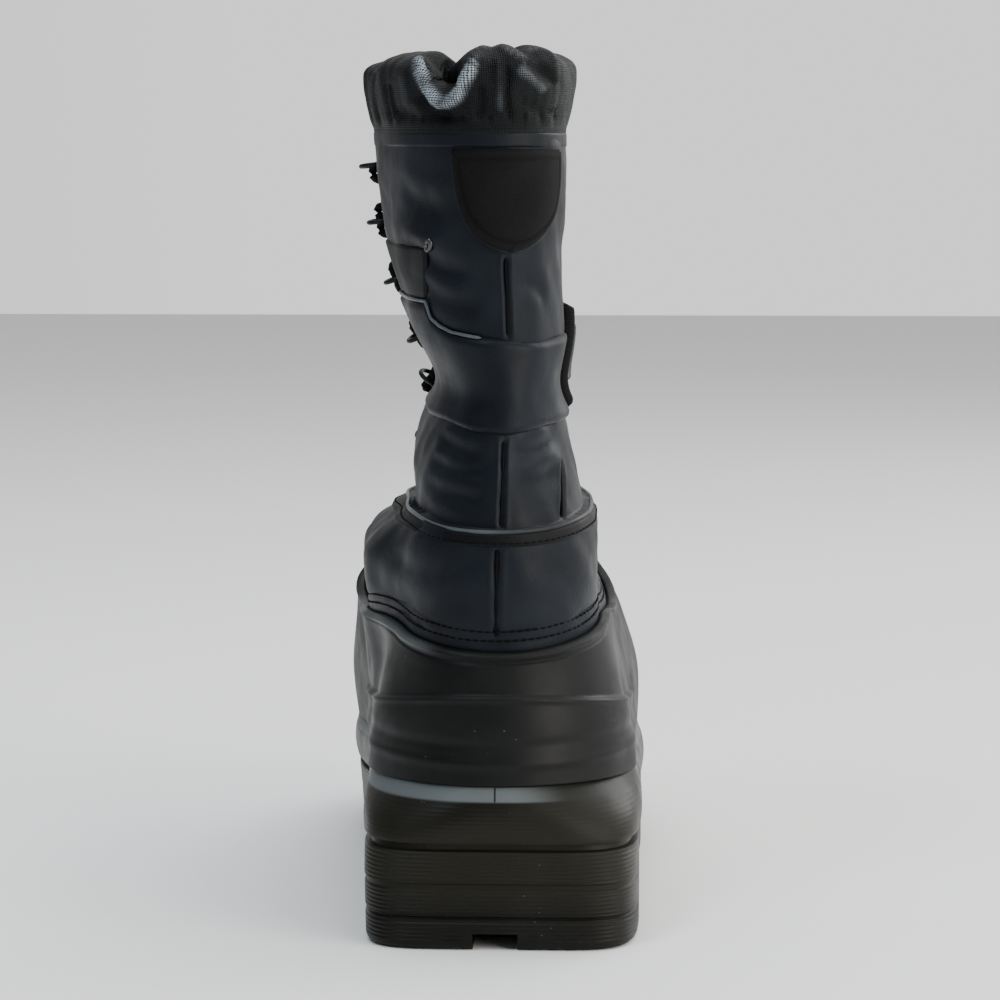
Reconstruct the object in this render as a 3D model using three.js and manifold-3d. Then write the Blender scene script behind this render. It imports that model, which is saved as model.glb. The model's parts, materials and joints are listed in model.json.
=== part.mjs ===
// Snow boot for the right foot: a rubber foot shell on a deep lugged outsole, a laced shaft with an ankle
// strap and a back pad, and a gathered collar. Millimetres: +X is the outer side of the foot, +Y the toe,
// +Z up. The origin lies on the flat tread of the heel.
import * as THREE from "three";
import { mergeVertices } from "three/addons/utils/BufferGeometryUtils.js";
import Module from "manifold-3d";

const wasm = await Module();
wasm.setup();

// Driving sizes of the foot
const FOOT_LENGTH = 293;
const HEEL_WIDTH = 90;
const BALL_WIDTH = 106;
const HEEL_SETBACK = 42.7;
const TOE_INSET = 8;

// Heights above the floor
const RIM_HEEL = 59;
const RIM_TOE = 44;
const SHELL_TOP = 106;
const COUNTER_TOP = 149;
const INSTEP_HEIGHT = 133;
const STRAP_BOTTOM = 184;
const STRAP_TOP = 216;
const PAD_BOTTOM = 247;
const PAD_TOP = 282;
const COLLAR_SEAM = 289;
const COLLAR_RISE = 31;

// Driving sizes of the shaft
const SHAFT_WIDTH = 66;
const SHAFT_DEPTH = 133;
const SHAFT_LEAN = 12.5;
const SHAFT_TURN = 14.5;
const SHAFT_HEEL_ROUND = 0.42;
const SHAFT_TOE_ROUND = 0.46;

// Walls, steps and clearances
const UPPER_WALL = 2.4;
const COUNTER_STEP = 3.4;
const COUNTER_LIFT = 1.5;
const SHELL_WALL = 3;
const SHELL_MARGIN = 14;
const EDGE_DIP = 14;
const GAP = 0.3;

// Outsole
const SOLE_PROUD = 5;
const SOLE_WALL = 7;
const FLOOR_HEEL = 30;
const FLOOR_TOE = 19;
const ARCH_RISE = 9;
const TOE_SPRING = 15;
const BEVEL_HEIGHT = 5.5;
const BEVEL_DEPTH = 1.4;
const BAND_HEIGHT = 15;
const BAND_PROUD = 0.9;
const GROOVE_DEPTH = 2.2;
const GROOVE_HEIGHT = 3;
const RIB_DEPTH = 0.9;
const RIB_HEIGHT = 1.2;
const RIB_PLACES = [0.36, 0.68];
const TREAD_CORNER = 3.2;
const SOLE_TAPER = 4;
const SOLE_TAPER_HEEL = 2.4;
const SOLE_FLARE = 1.5;
const SOLE_FLARE_BALL = 0.45;
const HEEL_SQUARE = 5;
const LUG_DEPTH = 6;
const CHANNEL_WIDTH = 6;
const NOTCH_WIDTH = 16;
const NOTCH_LENGTH = 22;
const BALL_TURN = -8;
const BALL_TURN_STEP = 3;

// Insole and tongue
const INSOLE_THICKNESS = 6;
const INSOLE_CLEARANCE = 1.2;
const TONGUE_THICKNESS = 3;
const TONGUE_WIDTH = 58;
const TONGUE_BELOW = 8;

// Throat, eyestays, rings and lace
const THROAT_START = 3;
const THROAT_FOOT_WIDTH = 14;
const THROAT_TOP_WIDTH = 26;
const EYESTAY_WIDTH = 24;
const EYESTAY_THICKNESS = 1.6;
const EYESTAY_START = 5;
const EYESTAY_END = 3;
const EYESTAY_SETBACK = 2;
const RING_COUNT = 6;
const RING_RADIUS = 4.8;
const RING_WIRE = 1.8;
const RING_SETBACK = 13;
const RIVET_RADIUS = 3.6;
const RIVET_HEIGHT = 1.2;
const RING_FIRST = 12;
const RING_LAST = 9;
const RING_SINK = 0.7;
const RING_GAP = 0.8;
const LACE_DIAMETER = 3.6;
const LACE_REACH = 5;
const LACE_PULL = 1.4;

// Strap, tab and pad
const STRAP_THICKNESS = 1.7;
const STRAP_CLEARANCE = 1.5;
const TAB_LENGTH = 34;
const TAB_HEIGHT = 37;
const TAB_THICKNESS = 5;
const TAB_RAISE = 8;
const KEEPER_LENGTH = 9;
const KEEPER_HEIGHT = 22;
const KEEPER_THICKNESS = 2;
const KEEPER_GAP = 0.6;
const PAD_WIDTH = 53;
const PAD_SHIFT = 5;
const PAD_THICKNESS = 1.6;
const PAD_FOOT_WIDTH = 0.015;
const PAD_SQUARENESS = 1.85;
const PAD_ROWS = 11;
const PAD_CROWDING = 1.7;

// Collar
const COLLAR_WALL = 2;
const COLLAR_BULGE = 4;
const COLLAR_LIP = 12;
const COLLAR_TUCK = 9;
const COLLAR_FALL = 9;
const COLLAR_CREST = 0.72;
const COLLAR_BELLY = 0.66;
const LIP_START = 0.38;
const LIP_SPAN = 0.5;
const EDGE_TURN = 0.45;
const EDGE_TURN_SPAN = 0.3;
const EDGE_THINNING = 0.15;

// Moulded relief of the shell
const PANEL_PROUD = 1.3;
const PANEL_TOP = 91;
const PANEL_FALL = 14;
const PANEL_EDGE = 2.5;
const FLEX_GROOVE = 1.6;

const AROUND = 36;

// Sections of the foot, from the outsole rim to the counter's top. Each lies in one tilted plane.
// rise: height of its back end, a share of the way from rim to counter top.
// back and front: places of its ends, shares of the foot length from the heel.
// lift: height of its front end, a share of the way from toe rim to instep.
// heel, waist and ball: half-widths on the inner (In) and outer (Out) side, shares of the heel width for
// heel and waist and of the ball width for ball. heelEnd and toeEnd: shares of the length that round off.
const FOOT_SECTIONS = [
  { rise: 0.0, back: 0.0, front: 1.0, lift: 0.0, heelIn: 0.495, heelOut: 0.505,
    waistIn: 0.54, waistOut: 0.5, ballIn: 0.553, ballOut: 0.465, heelEnd: 0.19, toeEnd: 0.27 },
  { rise: 0.21, back: 0.005, front: 0.98, lift: 0.27, heelIn: 0.478, heelOut: 0.478,
    waistIn: 0.56, waistOut: 0.495, ballIn: 0.572, ballOut: 0.468, heelEnd: 0.18, toeEnd: 0.28 },
  { rise: 0.37, back: 0.012, front: 0.925, lift: 0.57, heelIn: 0.444, heelOut: 0.444,
    waistIn: 0.575, waistOut: 0.455, ballIn: 0.555, ballOut: 0.405, heelEnd: 0.19, toeEnd: 0.31 },
  { rise: 0.44, back: 0.016, front: 0.79, lift: 0.8, heelIn: 0.42, heelOut: 0.42,
    waistIn: 0.575, waistOut: 0.425, ballIn: 0.545, ballOut: 0.357, heelEnd: 0.21, toeEnd: 0.4 },
  { rise: 0.522, back: 0.018, front: 0.603, lift: 1.0, heelIn: 0.405, heelOut: 0.4,
    waistIn: 0.57, waistOut: 0.392, ballIn: 0.535, ballOut: 0.325, heelEnd: 0.26, toeEnd: 0.5 },
  { rise: 0.767, back: 0.009, front: 0.548, lift: 1.14, heelIn: 0.42, heelOut: 0.4,
    waistIn: 0.57, waistOut: 0.385, ballIn: 0.52, ballOut: 0.325, heelEnd: 0.3, toeEnd: 0.5 },
  { rise: 0.93, back: 0.008, front: 0.522, lift: 1.215, heelIn: 0.402, heelOut: 0.387,
    waistIn: 0.46, waistOut: 0.387, ballIn: 0.42, ballOut: 0.305, heelEnd: 0.33, toeEnd: 0.485 },
  { rise: 1.0, back: 0.009, front: 0.514, lift: 1.25, heelIn: 0.362, heelOut: 0.374,
    waistIn: 0.395, waistOut: 0.37, ballIn: 0.37, ballOut: 0.295, heelEnd: 0.34, toeEnd: 0.48 },
];

// Sections of the shaft, from above the counter to past the collar seam.
// rise: height of its back end, a share of the way from counter top to collar seam.
// slope: how much higher its front end lies, a share of the shaft depth.
// back: place of its back end and depth: its length, shares of the shaft depth from the heel's back.
// width: its half-width, a share of the shaft width. lean: shift to the inner side, a share of the lean.
// turn: turn of the front to the inner side, a share of the shaft's turn.
const SHAFT_SECTIONS = [
  { rise: 0.12, slope: 0.06, back: 0.035, depth: 1.03, width: 0.5, lean: 0.3, turn: 0.25 },
  { rise: 0.243, slope: 0.05, back: 0.05, depth: 0.963, width: 0.44, lean: 0.29, turn: 0.31 },
  { rise: 0.336, slope: 0.038, back: 0.058, depth: 0.925, width: 0.36, lean: 0.18, turn: 0.38 },
  { rise: 0.479, slope: 0.023, back: 0.054, depth: 0.914, width: 0.445, lean: 0.45, turn: 0.56 },
  { rise: 0.679, slope: 0.015, back: 0.035, depth: 0.94, width: 0.505, lean: 0.86, turn: 0.8 },
  { rise: 0.807, slope: 0.008, back: 0.016, depth: 0.966, width: 0.527, lean: 0.92, turn: 0.94 },
  { rise: 1.0, slope: 0.0, back: -0.002, depth: 1.0, width: 0.54, lean: 1.04, turn: 1.0 },
  { rise: 1.25, slope: 0.0, back: -0.002, depth: 1.0, width: 0.54, lean: 1.08, turn: 1.0 },
];

// Stations of the half-widths along a section
const HEEL_STATION = 0.16;
const WAIST_STATION = 0.42;
const BALL_STATION = 0.7;
const TOE_SHIFT_STATION = 0.45;

// Places round the boot, in turns from the back: end of the heel panel and its fade, the flex groove and its
// spread, and the middle of the strap's end
const PANEL_END = 0.2;
const PANEL_FADE = 0.032;
const GROOVE_AT = 0.242;
const GROOVE_SPREAD = 0.0143;
const TAB_AT = 0.733;

// Shares of the outsole's depth by which its outer flare and its square heel are reached
const FLARE_SHARE = 0.33;
const SQUARE_SHARE = 0.62;

// Shares of the way forward: where the shell's edge starts to dip, and where the counter's edge has risen to
// its full lift, starts to fall again and is down
const DIP_START = 0.2;
const LIFT_STATIONS = { risen: 0.25, falling: 0.45, down: 0.75 };

// Stations of the tread along the foot: the arch rises and falls again between these, then the toe springs
const ARCH_STATIONS = { start: 0.3, risen: 0.4, falling: 0.42, end: 0.54 };
const SPRING_STATIONS = { start: 0.7, end: 1.12 };
const SPRING_GAIN = 1.25;

// Channels cut into the tread. along and across: place of the middle, shares of the foot length and the ball
// width. turn: degrees. A lengthwise one runs for a share of the foot length, the others right across.
const TREAD_CHANNELS = [
  { along: -0.052, across: 0, turn: 0, lengthwise: 0 },
  { along: 0.052, across: 0, turn: 0, lengthwise: 0 },
  ...[0.4, 0.475, 0.55, 0.625, 0.7, 0.775].map((along, i) => ({
    along, across: 0, turn: BALL_TURN + BALL_TURN_STEP * i, lengthwise: 0,
  })),
  { along: 0.56, across: -0.17, turn: 3, lengthwise: 0.44 },
  { along: 0.56, across: 0.11, turn: 3, lengthwise: 0.44 },
];

// Folds of the collar. at: degrees round from the back, over the inner side. spread: degrees.
// dent: how deep it sinks and drop: how far the rim falls there, shares of the collar's rise.
const COLLAR_FOLDS = [
  { at: 8, spread: 9, dent: 0.1, drop: 0.06 },
  { at: 33, spread: 12, dent: 0.3, drop: 0.34 },
  { at: 62, spread: 8, dent: 0.08, drop: 0.03 },
  { at: 88, spread: 9, dent: 0.14, drop: 0.12 },
  { at: 122, spread: 11, dent: 0.12, drop: 0.16 },
  { at: 158, spread: 9, dent: 0.15, drop: 0.1 },
  { at: 197, spread: 9, dent: 0.14, drop: 0.13 },
  { at: 236, spread: 11, dent: 0.12, drop: 0.1 },
  { at: 274, spread: 9, dent: 0.14, drop: 0.12 },
  { at: 308, spread: 10, dent: 0.12, drop: 0.08 },
  { at: 340, spread: 9, dent: 0.13, drop: 0.1 },
];

const FRONT = Math.PI;
const TURN = 2 * Math.PI;
const clamp01 = (v) => Math.min(1, Math.max(0, v));
const smooth = (v) => clamp01(v) ** 2 * (3 - 2 * clamp01(v));
const mix = (a, b, k) => a + (b - a) * k;
const degrees = (v) => (v * Math.PI) / 180;

// Turns both tables into sections in millimetres with the same columns
function sectionRows() {
  const rows = FOOT_SECTIONS.map((s) => ({
    backY: s.back * FOOT_LENGTH - HEEL_SETBACK,
    frontY: s.front * FOOT_LENGTH - HEEL_SETBACK,
    backZ: mix(RIM_HEEL, COUNTER_TOP, s.rise),
    frontZ: mix(RIM_TOE, INSTEP_HEIGHT, s.lift),
    heelIn: s.heelIn * HEEL_WIDTH,
    heelOut: s.heelOut * HEEL_WIDTH,
    waistIn: s.waistIn * HEEL_WIDTH,
    waistOut: s.waistOut * HEEL_WIDTH,
    ballIn: s.ballIn * BALL_WIDTH,
    ballOut: s.ballOut * BALL_WIDTH,
    heelEnd: s.heelEnd,
    toeEnd: s.toeEnd,
    lean: 0,
    turn: 0,
    toe: TOE_INSET * clamp01((s.front - 0.5) * 2),
  }));
  for (const s of SHAFT_SECTIONS) {
    const backZ = mix(COUNTER_TOP, COLLAR_SEAM, s.rise);
    const backY = s.back * SHAFT_DEPTH - HEEL_SETBACK;
    const half = s.width * SHAFT_WIDTH;
    rows.push({
      backY,
      frontY: backY + s.depth * SHAFT_DEPTH,
      backZ,
      frontZ: backZ + s.slope * SHAFT_DEPTH,
      heelIn: half,
      heelOut: half,
      waistIn: half,
      waistOut: half,
      ballIn: half,
      ballOut: half,
      heelEnd: SHAFT_HEEL_ROUND,
      toeEnd: SHAFT_TOE_ROUND,
      lean: s.lean * SHAFT_LEAN,
      turn: degrees(s.turn * SHAFT_TURN),
      toe: 0,
    });
  }
  return rows;
}

const ROWS = sectionRows();
const LAST_ROW = ROWS.length - 1;

// A smooth blend of one column at a place between sections
function column(name, place) {
  const i = Math.min(LAST_ROW - 1, Math.max(0, Math.floor(place)));
  const k = place - i;
  const [a, b, c, d] = [i - 1, i, i + 1, i + 2].map((j) => ROWS[Math.min(LAST_ROW, Math.max(0, j))][name]);
  const inSlope = (c - a) / 2;
  const outSlope = (d - b) / 2;
  const k2 = k * k;
  const k3 = k2 * k;
  return (2 * k3 - 3 * k2 + 1) * b + (k3 - 2 * k2 + k) * inSlope + (3 * k2 - 2 * k3) * c + (k3 - k2) * outSlope;
}

// Half-width at a share of the section's length, through its heel, waist and ball stations
function halfWidth(u, heel, waist, ball) {
  if (u < WAIST_STATION) {
    return mix(heel, waist, smooth((u - HEEL_STATION) / (WAIST_STATION - HEEL_STATION)));
  }
  return mix(waist, ball, smooth((u - WAIST_STATION) / (BALL_STATION - WAIST_STATION)));
}

// The boot's own skin. place: section number. angle: 0 at the back, half a turn at the front, the inner
// side between them on the way out.
function skinPoint(place, angle) {
  const c = (name) => column(name, place);
  const u = 0.5 - 0.5 * Math.cos(angle);
  const inner = Math.sin(angle) > 0;
  const side = inner ? "In" : "Out";
  const wide = halfWidth(u, c("heel" + side), c("waist" + side), c("ball" + side));
  const heelEnd = c("heelEnd");
  const toeEnd = c("toeEnd");
  const heelRound = Math.sqrt(1 - clamp01((heelEnd - u) / heelEnd) ** 2);
  const toeRound = Math.sqrt(1 - clamp01((u - 1 + toeEnd) / toeEnd) ** 2);
  const inset = c("toe") * smooth((u - TOE_SHIFT_STATION) / (1 - TOE_SHIFT_STATION));
  const across = (inner ? -1 : 1) * wide * heelRound * toeRound - inset;
  const backY = c("backY");
  const frontY = c("frontY");
  const half = (frontY - backY) / 2;
  const along = (2 * u - 1) * half;
  const turn = c("turn");
  return new THREE.Vector3(
    across * Math.cos(turn) - along * Math.sin(turn) - c("lean"),
    (frontY + backY) / 2 + across * Math.sin(turn) + along * Math.cos(turn),
    mix(c("backZ"), c("frontZ"), u),
  );
}

function skinNormal(place, angle) {
  const step = 0.02;
  const alongPlace = skinPoint(Math.min(place + step, LAST_ROW), angle)
    .sub(skinPoint(Math.max(place - step, 0), angle));
  const alongAngle = skinPoint(place, angle + step).sub(skinPoint(place, angle - step));
  return alongPlace.cross(alongAngle).normalize();
}

const offsetPoint = (place, angle, out) =>
  skinPoint(place, angle).addScaledVector(skinNormal(place, angle), out);

// The place whose value from a rising function of place is wanted
function solvePlace(value, wanted) {
  let low = 0;
  let high = LAST_ROW;
  for (let i = 0; i < 40; i += 1) {
    const middle = (low + high) / 2;
    if (value(middle) < wanted) low = middle;
    else high = middle;
  }
  return (low + high) / 2;
}

const placeAtBack = (height) => solvePlace((p) => column("backZ", p), height);
const placeAtFront = (height) => solvePlace((p) => column("frontZ", p), height);
const placeAtHeight = (angle, height) => solvePlace((p) => skinPoint(p, angle).z, height);

const SHELL_PLACE = placeAtBack(SHELL_TOP);
const COUNTER_PLACE = placeAtBack(COUNTER_TOP);
const SEAM_PLACE = placeAtBack(COLLAR_SEAM);
const STEP_SPAN = 0.06;
const SHAFT_STEPS = 10;

// Share of the way from the back to the front at an angle
const forwardShare = (angle) => 0.5 - 0.5 * Math.cos(angle);

// Height of the shell's top edge, which dips along both sides
function shellEdgeHeight(angle) {
  const dip = Math.sin(Math.PI * clamp01((forwardShare(angle) - DIP_START) / (1 - DIP_START))) ** 2;
  return skinPoint(SHELL_PLACE, angle).z - EDGE_DIP * dip;
}

// Place of the counter's top edge, which rises from the back to both sides and falls again to the front
function counterPlace(angle) {
  const u = forwardShare(angle);
  const { risen, falling, down } = LIFT_STATIONS;
  const lift = smooth(u / risen) * (1 - smooth((u - falling) / (down - falling)));
  return placeAtHeight(angle, skinPoint(COUNTER_PLACE, angle).z + COUNTER_LIFT * lift);
}

// Places up the skin at one angle: rim, foot of the sewn margin, shell edge, counter top, in shared steps
const FOOT_STEPS = [6, 2, 2];
function footPlaces(angle) {
  const edge = placeAtHeight(angle, shellEdgeHeight(angle));
  const margin = placeAtHeight(angle, shellEdgeHeight(angle) - SHELL_MARGIN);
  const stops = [0, margin, edge, counterPlace(angle)];
  return FOOT_STEPS.flatMap((steps, i) => spread(stops[i], stops[i + 1], steps).slice(i > 0 ? 1 : 0));
}
const MARGIN_INDEX = FOOT_STEPS[0];
const EDGE_INDEX = FOOT_STEPS[0] + FOOT_STEPS[1];

// The angle that lies a distance along the skin from another angle
function angleAway(place, angle, distance) {
  const steps = 12;
  let at = angle;
  for (let i = 0; i < steps; i += 1) {
    const span = skinPoint(place, at + 0.01).distanceTo(skinPoint(place, at - 0.01)) / 0.02;
    at += distance / steps / span;
  }
  return at;
}

// A closed solid from rings of points, closed on itself or capped at both ends
function gridSolid(rows, closed = true) {
  const positions = [];
  const faces = [];
  const count = rows[0].length;
  rows.forEach((row) => row.forEach((p) => positions.push(p.x, p.y, p.z)));
  const index = (i, j) => (i % rows.length) * count + (j % count);
  const turnRow = closed ? rows.length / 2 : rows.length;
  const rowSteps = closed ? rows.length : rows.length - 1;
  for (let i = 0; i < rowSteps; i += 1) {
    for (let j = 0; j < count; j += 1) {
      const quad = [index(i, j), index(i + 1, j), index(i + 1, j + 1), index(i, j + 1)];
      // The way back down splits its quads along the same lines as the way up
      const split = i < turnRow ? [0, 1, 2, 0, 2, 3] : [0, 1, 3, 1, 2, 3];
      split.forEach((n) => faces.push(quad[n]));
    }
  }
  if (!closed) {
    [0, rows.length - 1].forEach((i) => {
      const centre = new THREE.Vector3();
      rows[i].forEach((p) => centre.addScaledVector(p, 1 / count));
      const hub = positions.length / 3;
      positions.push(centre.x, centre.y, centre.z);
      for (let j = 0; j < count; j += 1) {
        const pair = [index(i, j), index(i, j + 1)];
        if (i > 0) pair.reverse();
        faces.push(hub, ...pair);
      }
    });
  }
  return orientedSolid(positions, faces);
}

function orientedSolid(positions, faces) {
  let volume = 0;
  const at = (i) => new THREE.Vector3(positions[3 * i], positions[3 * i + 1], positions[3 * i + 2]);
  for (let i = 0; i < faces.length; i += 3) {
    volume += at(faces[i]).dot(at(faces[i + 1]).cross(at(faces[i + 2])));
  }
  const order = volume < 0 ? faces.slice().reverse() : faces;
  return new wasm.Manifold(
    new wasm.Mesh({
      numProp: 3,
      vertProperties: new Float32Array(positions),
      triVerts: new Uint32Array(order),
    }),
  );
}

// A slab between an outer and an inner grid of points, closed round its four edges
function slabSolid(outer, inner) {
  const rows = outer.map((row, i) => [...row, ...inner[i].slice().reverse()]);
  const width = outer[0].length;
  const positions = [];
  rows.forEach((row) => row.forEach((p) => positions.push(p.x, p.y, p.z)));
  const count = rows[0].length;
  const faces = [];
  for (let i = 0; i < rows.length - 1; i += 1) {
    for (let j = 0; j < count; j += 1) {
      const k = (j + 1) % count;
      faces.push(i * count + j, (i + 1) * count + j, (i + 1) * count + k);
      faces.push(i * count + j, (i + 1) * count + k, i * count + k);
    }
  }
  [0, rows.length - 1].forEach((i) => {
    for (let j = 0; j < width - 1; j += 1) {
      const quad = [j, j + 1, count - 2 - j, count - 1 - j].map((n) => i * count + n);
      const corners = i === 0 ? [0, 1, 2, 0, 2, 3] : [0, 2, 1, 0, 3, 2];
      corners.forEach((n) => faces.push(quad[n]));
    }
  });
  return orientedSolid(positions, faces);
}

function fromGeometry(geometry) {
  const bare = geometry.clone();
  bare.deleteAttribute("normal");
  bare.deleteAttribute("uv");
  const merged = mergeVertices(bare, 1e-4);
  return new wasm.Manifold(
    new wasm.Mesh({
      numProp: 3,
      vertProperties: new Float32Array(merged.attributes.position.array),
      triVerts: new Uint32Array(merged.index.array),
    }),
  );
}

function toGeometry(solid) {
  const mesh = solid.getMesh();
  const geometry = new THREE.BufferGeometry();
  const positions = new Float32Array(mesh.numVert * 3);
  for (let i = 0; i < mesh.numVert; i += 1) {
    for (let k = 0; k < 3; k += 1) positions[3 * i + k] = mesh.vertProperties[i * mesh.numProp + k];
  }
  geometry.setAttribute("position", new THREE.BufferAttribute(positions, 3));
  geometry.setIndex(new THREE.BufferAttribute(new Uint32Array(mesh.triVerts), 1));
  geometry.computeVertexNormals();
  return geometry;
}

const boot = new THREE.Group();

const MATERIALS = {
  rubber: new THREE.MeshStandardMaterial({ color: 0x24241f, roughness: 0.5, metalness: 0 }),
  shellRubber: new THREE.MeshStandardMaterial({ color: 0x1c1e1f, roughness: 0.42, metalness: 0 }),
  coatedFabric: new THREE.MeshStandardMaterial({ color: 0x23272c, roughness: 0.55, metalness: 0 }),
  webbing: new THREE.MeshStandardMaterial({ color: 0x17181b, roughness: 0.8, metalness: 0 }),
  nylon: new THREE.MeshStandardMaterial({ color: 0x23292b, roughness: 0.6, metalness: 0 }),
  padFabric: new THREE.MeshStandardMaterial({ color: 0x1c1c1e, roughness: 0.85, metalness: 0 }),
  lining: new THREE.MeshStandardMaterial({ color: 0x202226, roughness: 0.9, metalness: 0 }),
  metal: new THREE.MeshStandardMaterial({ color: 0x8b8f92, roughness: 0.35, metalness: 1 }),
};

function addPiece(name, geometry, material) {
  const mesh = new THREE.Mesh(geometry, material);
  mesh.name = name;
  boot.add(mesh);
  return mesh;
}

const angles = (count) => Array.from({ length: count }, (_, j) => (2 * Math.PI * j) / count);
const spread = (low, high, steps) => Array.from({ length: steps + 1 }, (_, i) => mix(low, high, i / steps));

// A patch on the skin: rows run up it between two places, columns across it between two angles
function skinPatch({ places, edges, across, inner, outer }) {
  const grid = (offset) =>
    places.map((place, i) => {
      const [from, to] = edges(place, i / (places.length - 1));
      return spread(from, to, across).map((angle) => offsetPoint(place, angle, offset(place)));
    });
  return slabSolid(grid(outer), grid(inner));
}

// Half-width of the throat's gap at a place
function throatHalf(place) {
  const k = (place - SHELL_PLACE) / (SEAM_PLACE - SHELL_PLACE);
  return mix(THROAT_FOOT_WIDTH, THROAT_TOP_WIDTH, Math.sqrt(clamp01(k))) / 2;
}

function throatCutter() {
  const low = placeAtFront(column("frontZ", SHELL_PLACE) + THROAT_START);
  const reach = 2 * COUNTER_STEP + 2 * UPPER_WALL;
  return skinPatch({
    places: spread(low, LAST_ROW, 16),
    edges: (place) => [
      angleAway(place, FRONT, -throatHalf(place)),
      angleAway(place, FRONT, throatHalf(place)),
    ],
    across: 2,
    inner: () => -reach,
    outer: () => reach,
  });
}

// The upper's rings at a depth under its face, the same points for every form made from them
const UPPER_COLUMNS = angles(AROUND).map((angle) => {
  const top = counterPlace(angle);
  return {
    angle,
    top,
    places: [
      ...footPlaces(angle).slice(MARGIN_INDEX),
      ...spread(top + STEP_SPAN, SEAM_PLACE, SHAFT_STEPS),
    ],
  };
});

function upperRings(depth) {
  const last = UPPER_COLUMNS[0].places.length - 1;
  return UPPER_COLUMNS[0].places.map((_, k) =>
    UPPER_COLUMNS.map(({ angle, places, top }) => {
      // The shaft is set in above the counter
      const step = COUNTER_STEP * smooth((places[k] - top) / STEP_SPAN);
      const point = offsetPoint(places[k], angle, -step - depth);
      if (k === last) point.z = skinPoint(places[k], angle).z;
      return point;
    }),
  );
}

const upperForm = (depth) => gridSolid(upperRings(depth), false);

function upperSolid() {
  return gridSolid([...upperRings(0), ...upperRings(UPPER_WALL).reverse()]).subtract(throatCutter());
}

// What is sewn on the upper is cut to its face, a clearance away
const ON_UPPER = upperForm(-GAP);
const INSIDE_UPPER = upperForm(UPPER_WALL + GAP);
const CUT_REACH = 1.2;

// Relief moulded into the shell: a raised heel panel below an arched line and a flex groove on each side
function shellRelief(point, angle) {
  const away = Math.min(angle, TURN - angle) / TURN;
  const arch = PANEL_FALL * smooth(away / GROOVE_AT);
  const panel = PANEL_PROUD * smooth((PANEL_TOP - arch - point.z) / PANEL_EDGE);
  const panelEnd = 1 - smooth((away - PANEL_END) / PANEL_FADE);
  const groove = Math.exp(-(((away - GROOVE_AT) / GROOVE_SPREAD) ** 2));
  return panel * panelEnd - FLEX_GROOVE * groove;
}

function shellSolid() {
  const columns = angles(AROUND).map((angle) => ({
    angle,
    places: footPlaces(angle).slice(0, EDGE_INDEX + 1),
  }));
  const ring = (k, depth) =>
    columns.map(({ angle, places }) => {
      const point = skinPoint(places[k], angle);
      const relief = depth > 0 ? shellRelief(point, angle) * smooth((EDGE_INDEX - k) / 2) : 0;
      point.addScaledVector(skinNormal(places[k], angle), GAP + depth + relief);
      if (k === 0) point.z = rimHeight(angle) + GAP;
      return point;
    });
  const rings = [];
  for (let k = 0; k <= EDGE_INDEX; k += 1) rings.push(ring(k, SHELL_WALL));
  for (let k = EDGE_INDEX; k >= 0; k -= 1) rings.push(ring(k, 0));
  return gridSolid(rings);
}

// Height of the outsole's rim round the foot
const rimHeight = (angle) => skinPoint(0, angle).z;

// The foot's outline at the rim, moved outwards in plan. square: 0 keeps the round heel of the rim, 1 gives
// the square heel of the tread.
function outlinePoint(angle, out, height, square = 0) {
  const plan = (at) => {
    const point = skinPoint(0, at);
    const back = clamp01(1 - forwardShare(at) / column("heelEnd", 0));
    const power = mix(2, 2 + HEEL_SQUARE, square);
    const round = Math.sqrt(1 - back ** 2);
    if (round > 1e-6) point.x *= (1 - back ** power) ** (1 / power) / round;
    return point;
  };
  const point = plan(angle);
  const step = 0.01;
  const tangent = plan(angle + step).sub(plan(angle - step));
  const normal = new THREE.Vector3(-tangent.y, tangent.x, 0).normalize();
  if (normal.dot(new THREE.Vector3(point.x, point.y - FOOT_LENGTH / 3, 0)) < 0) normal.negate();
  return new THREE.Vector3(point.x + normal.x * out, point.y + normal.y * out, height);
}

// Height of the tread: flat under heel and ball, raised at the arch and at the toe
function treadHeight(y) {
  const share = (y + HEEL_SETBACK) / FOOT_LENGTH;
  const between = (from, to) => smooth((share - from) / (to - from));
  const { start, risen, falling, end } = ARCH_STATIONS;
  const arch = between(start, risen) * (1 - between(falling, end));
  const toe = between(SPRING_STATIONS.start, SPRING_STATIONS.end) * SPRING_GAIN;
  return ARCH_RISE * arch + TOE_SPRING * toe;
}

// Side profile of the outsole, from the tread to the rim. down: distance below the rim at the heel.
// out: how far it stands out from the foot's outline.
function soleProfile() {
  const tall = RIM_HEEL;
  const bandFoot = BEVEL_HEIGHT + BAND_HEIGHT;
  const grooveFoot = bandFoot + GROOVE_HEIGHT;
  const plain = SOLE_PROUD - 0.3;
  const ribs = RIB_PLACES.map((k) => mix(grooveFoot, tall, k));
  return [
    { down: tall, out: plain - TREAD_CORNER },
    { down: tall - TREAD_CORNER * 0.35, out: plain - TREAD_CORNER * 0.3 },
    { down: tall - TREAD_CORNER, out: plain },
    ...ribs.slice().reverse().flatMap((down) => [
      { down: down + RIB_HEIGHT, out: plain },
      { down, out: plain - RIB_DEPTH },
      { down: down - RIB_HEIGHT, out: plain },
    ]),
    { down: grooveFoot, out: plain },
    { down: grooveFoot - 0.6, out: plain - GROOVE_DEPTH },
    { down: bandFoot + 0.4, out: plain - GROOVE_DEPTH },
    { down: bandFoot, out: SOLE_PROUD },
    { down: bandFoot - BAND_HEIGHT / 2, out: SOLE_PROUD + BAND_PROUD },
    { down: BEVEL_HEIGHT, out: SOLE_PROUD },
    { down: 0, out: SOLE_PROUD - BEVEL_DEPTH },
  ];
}

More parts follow.
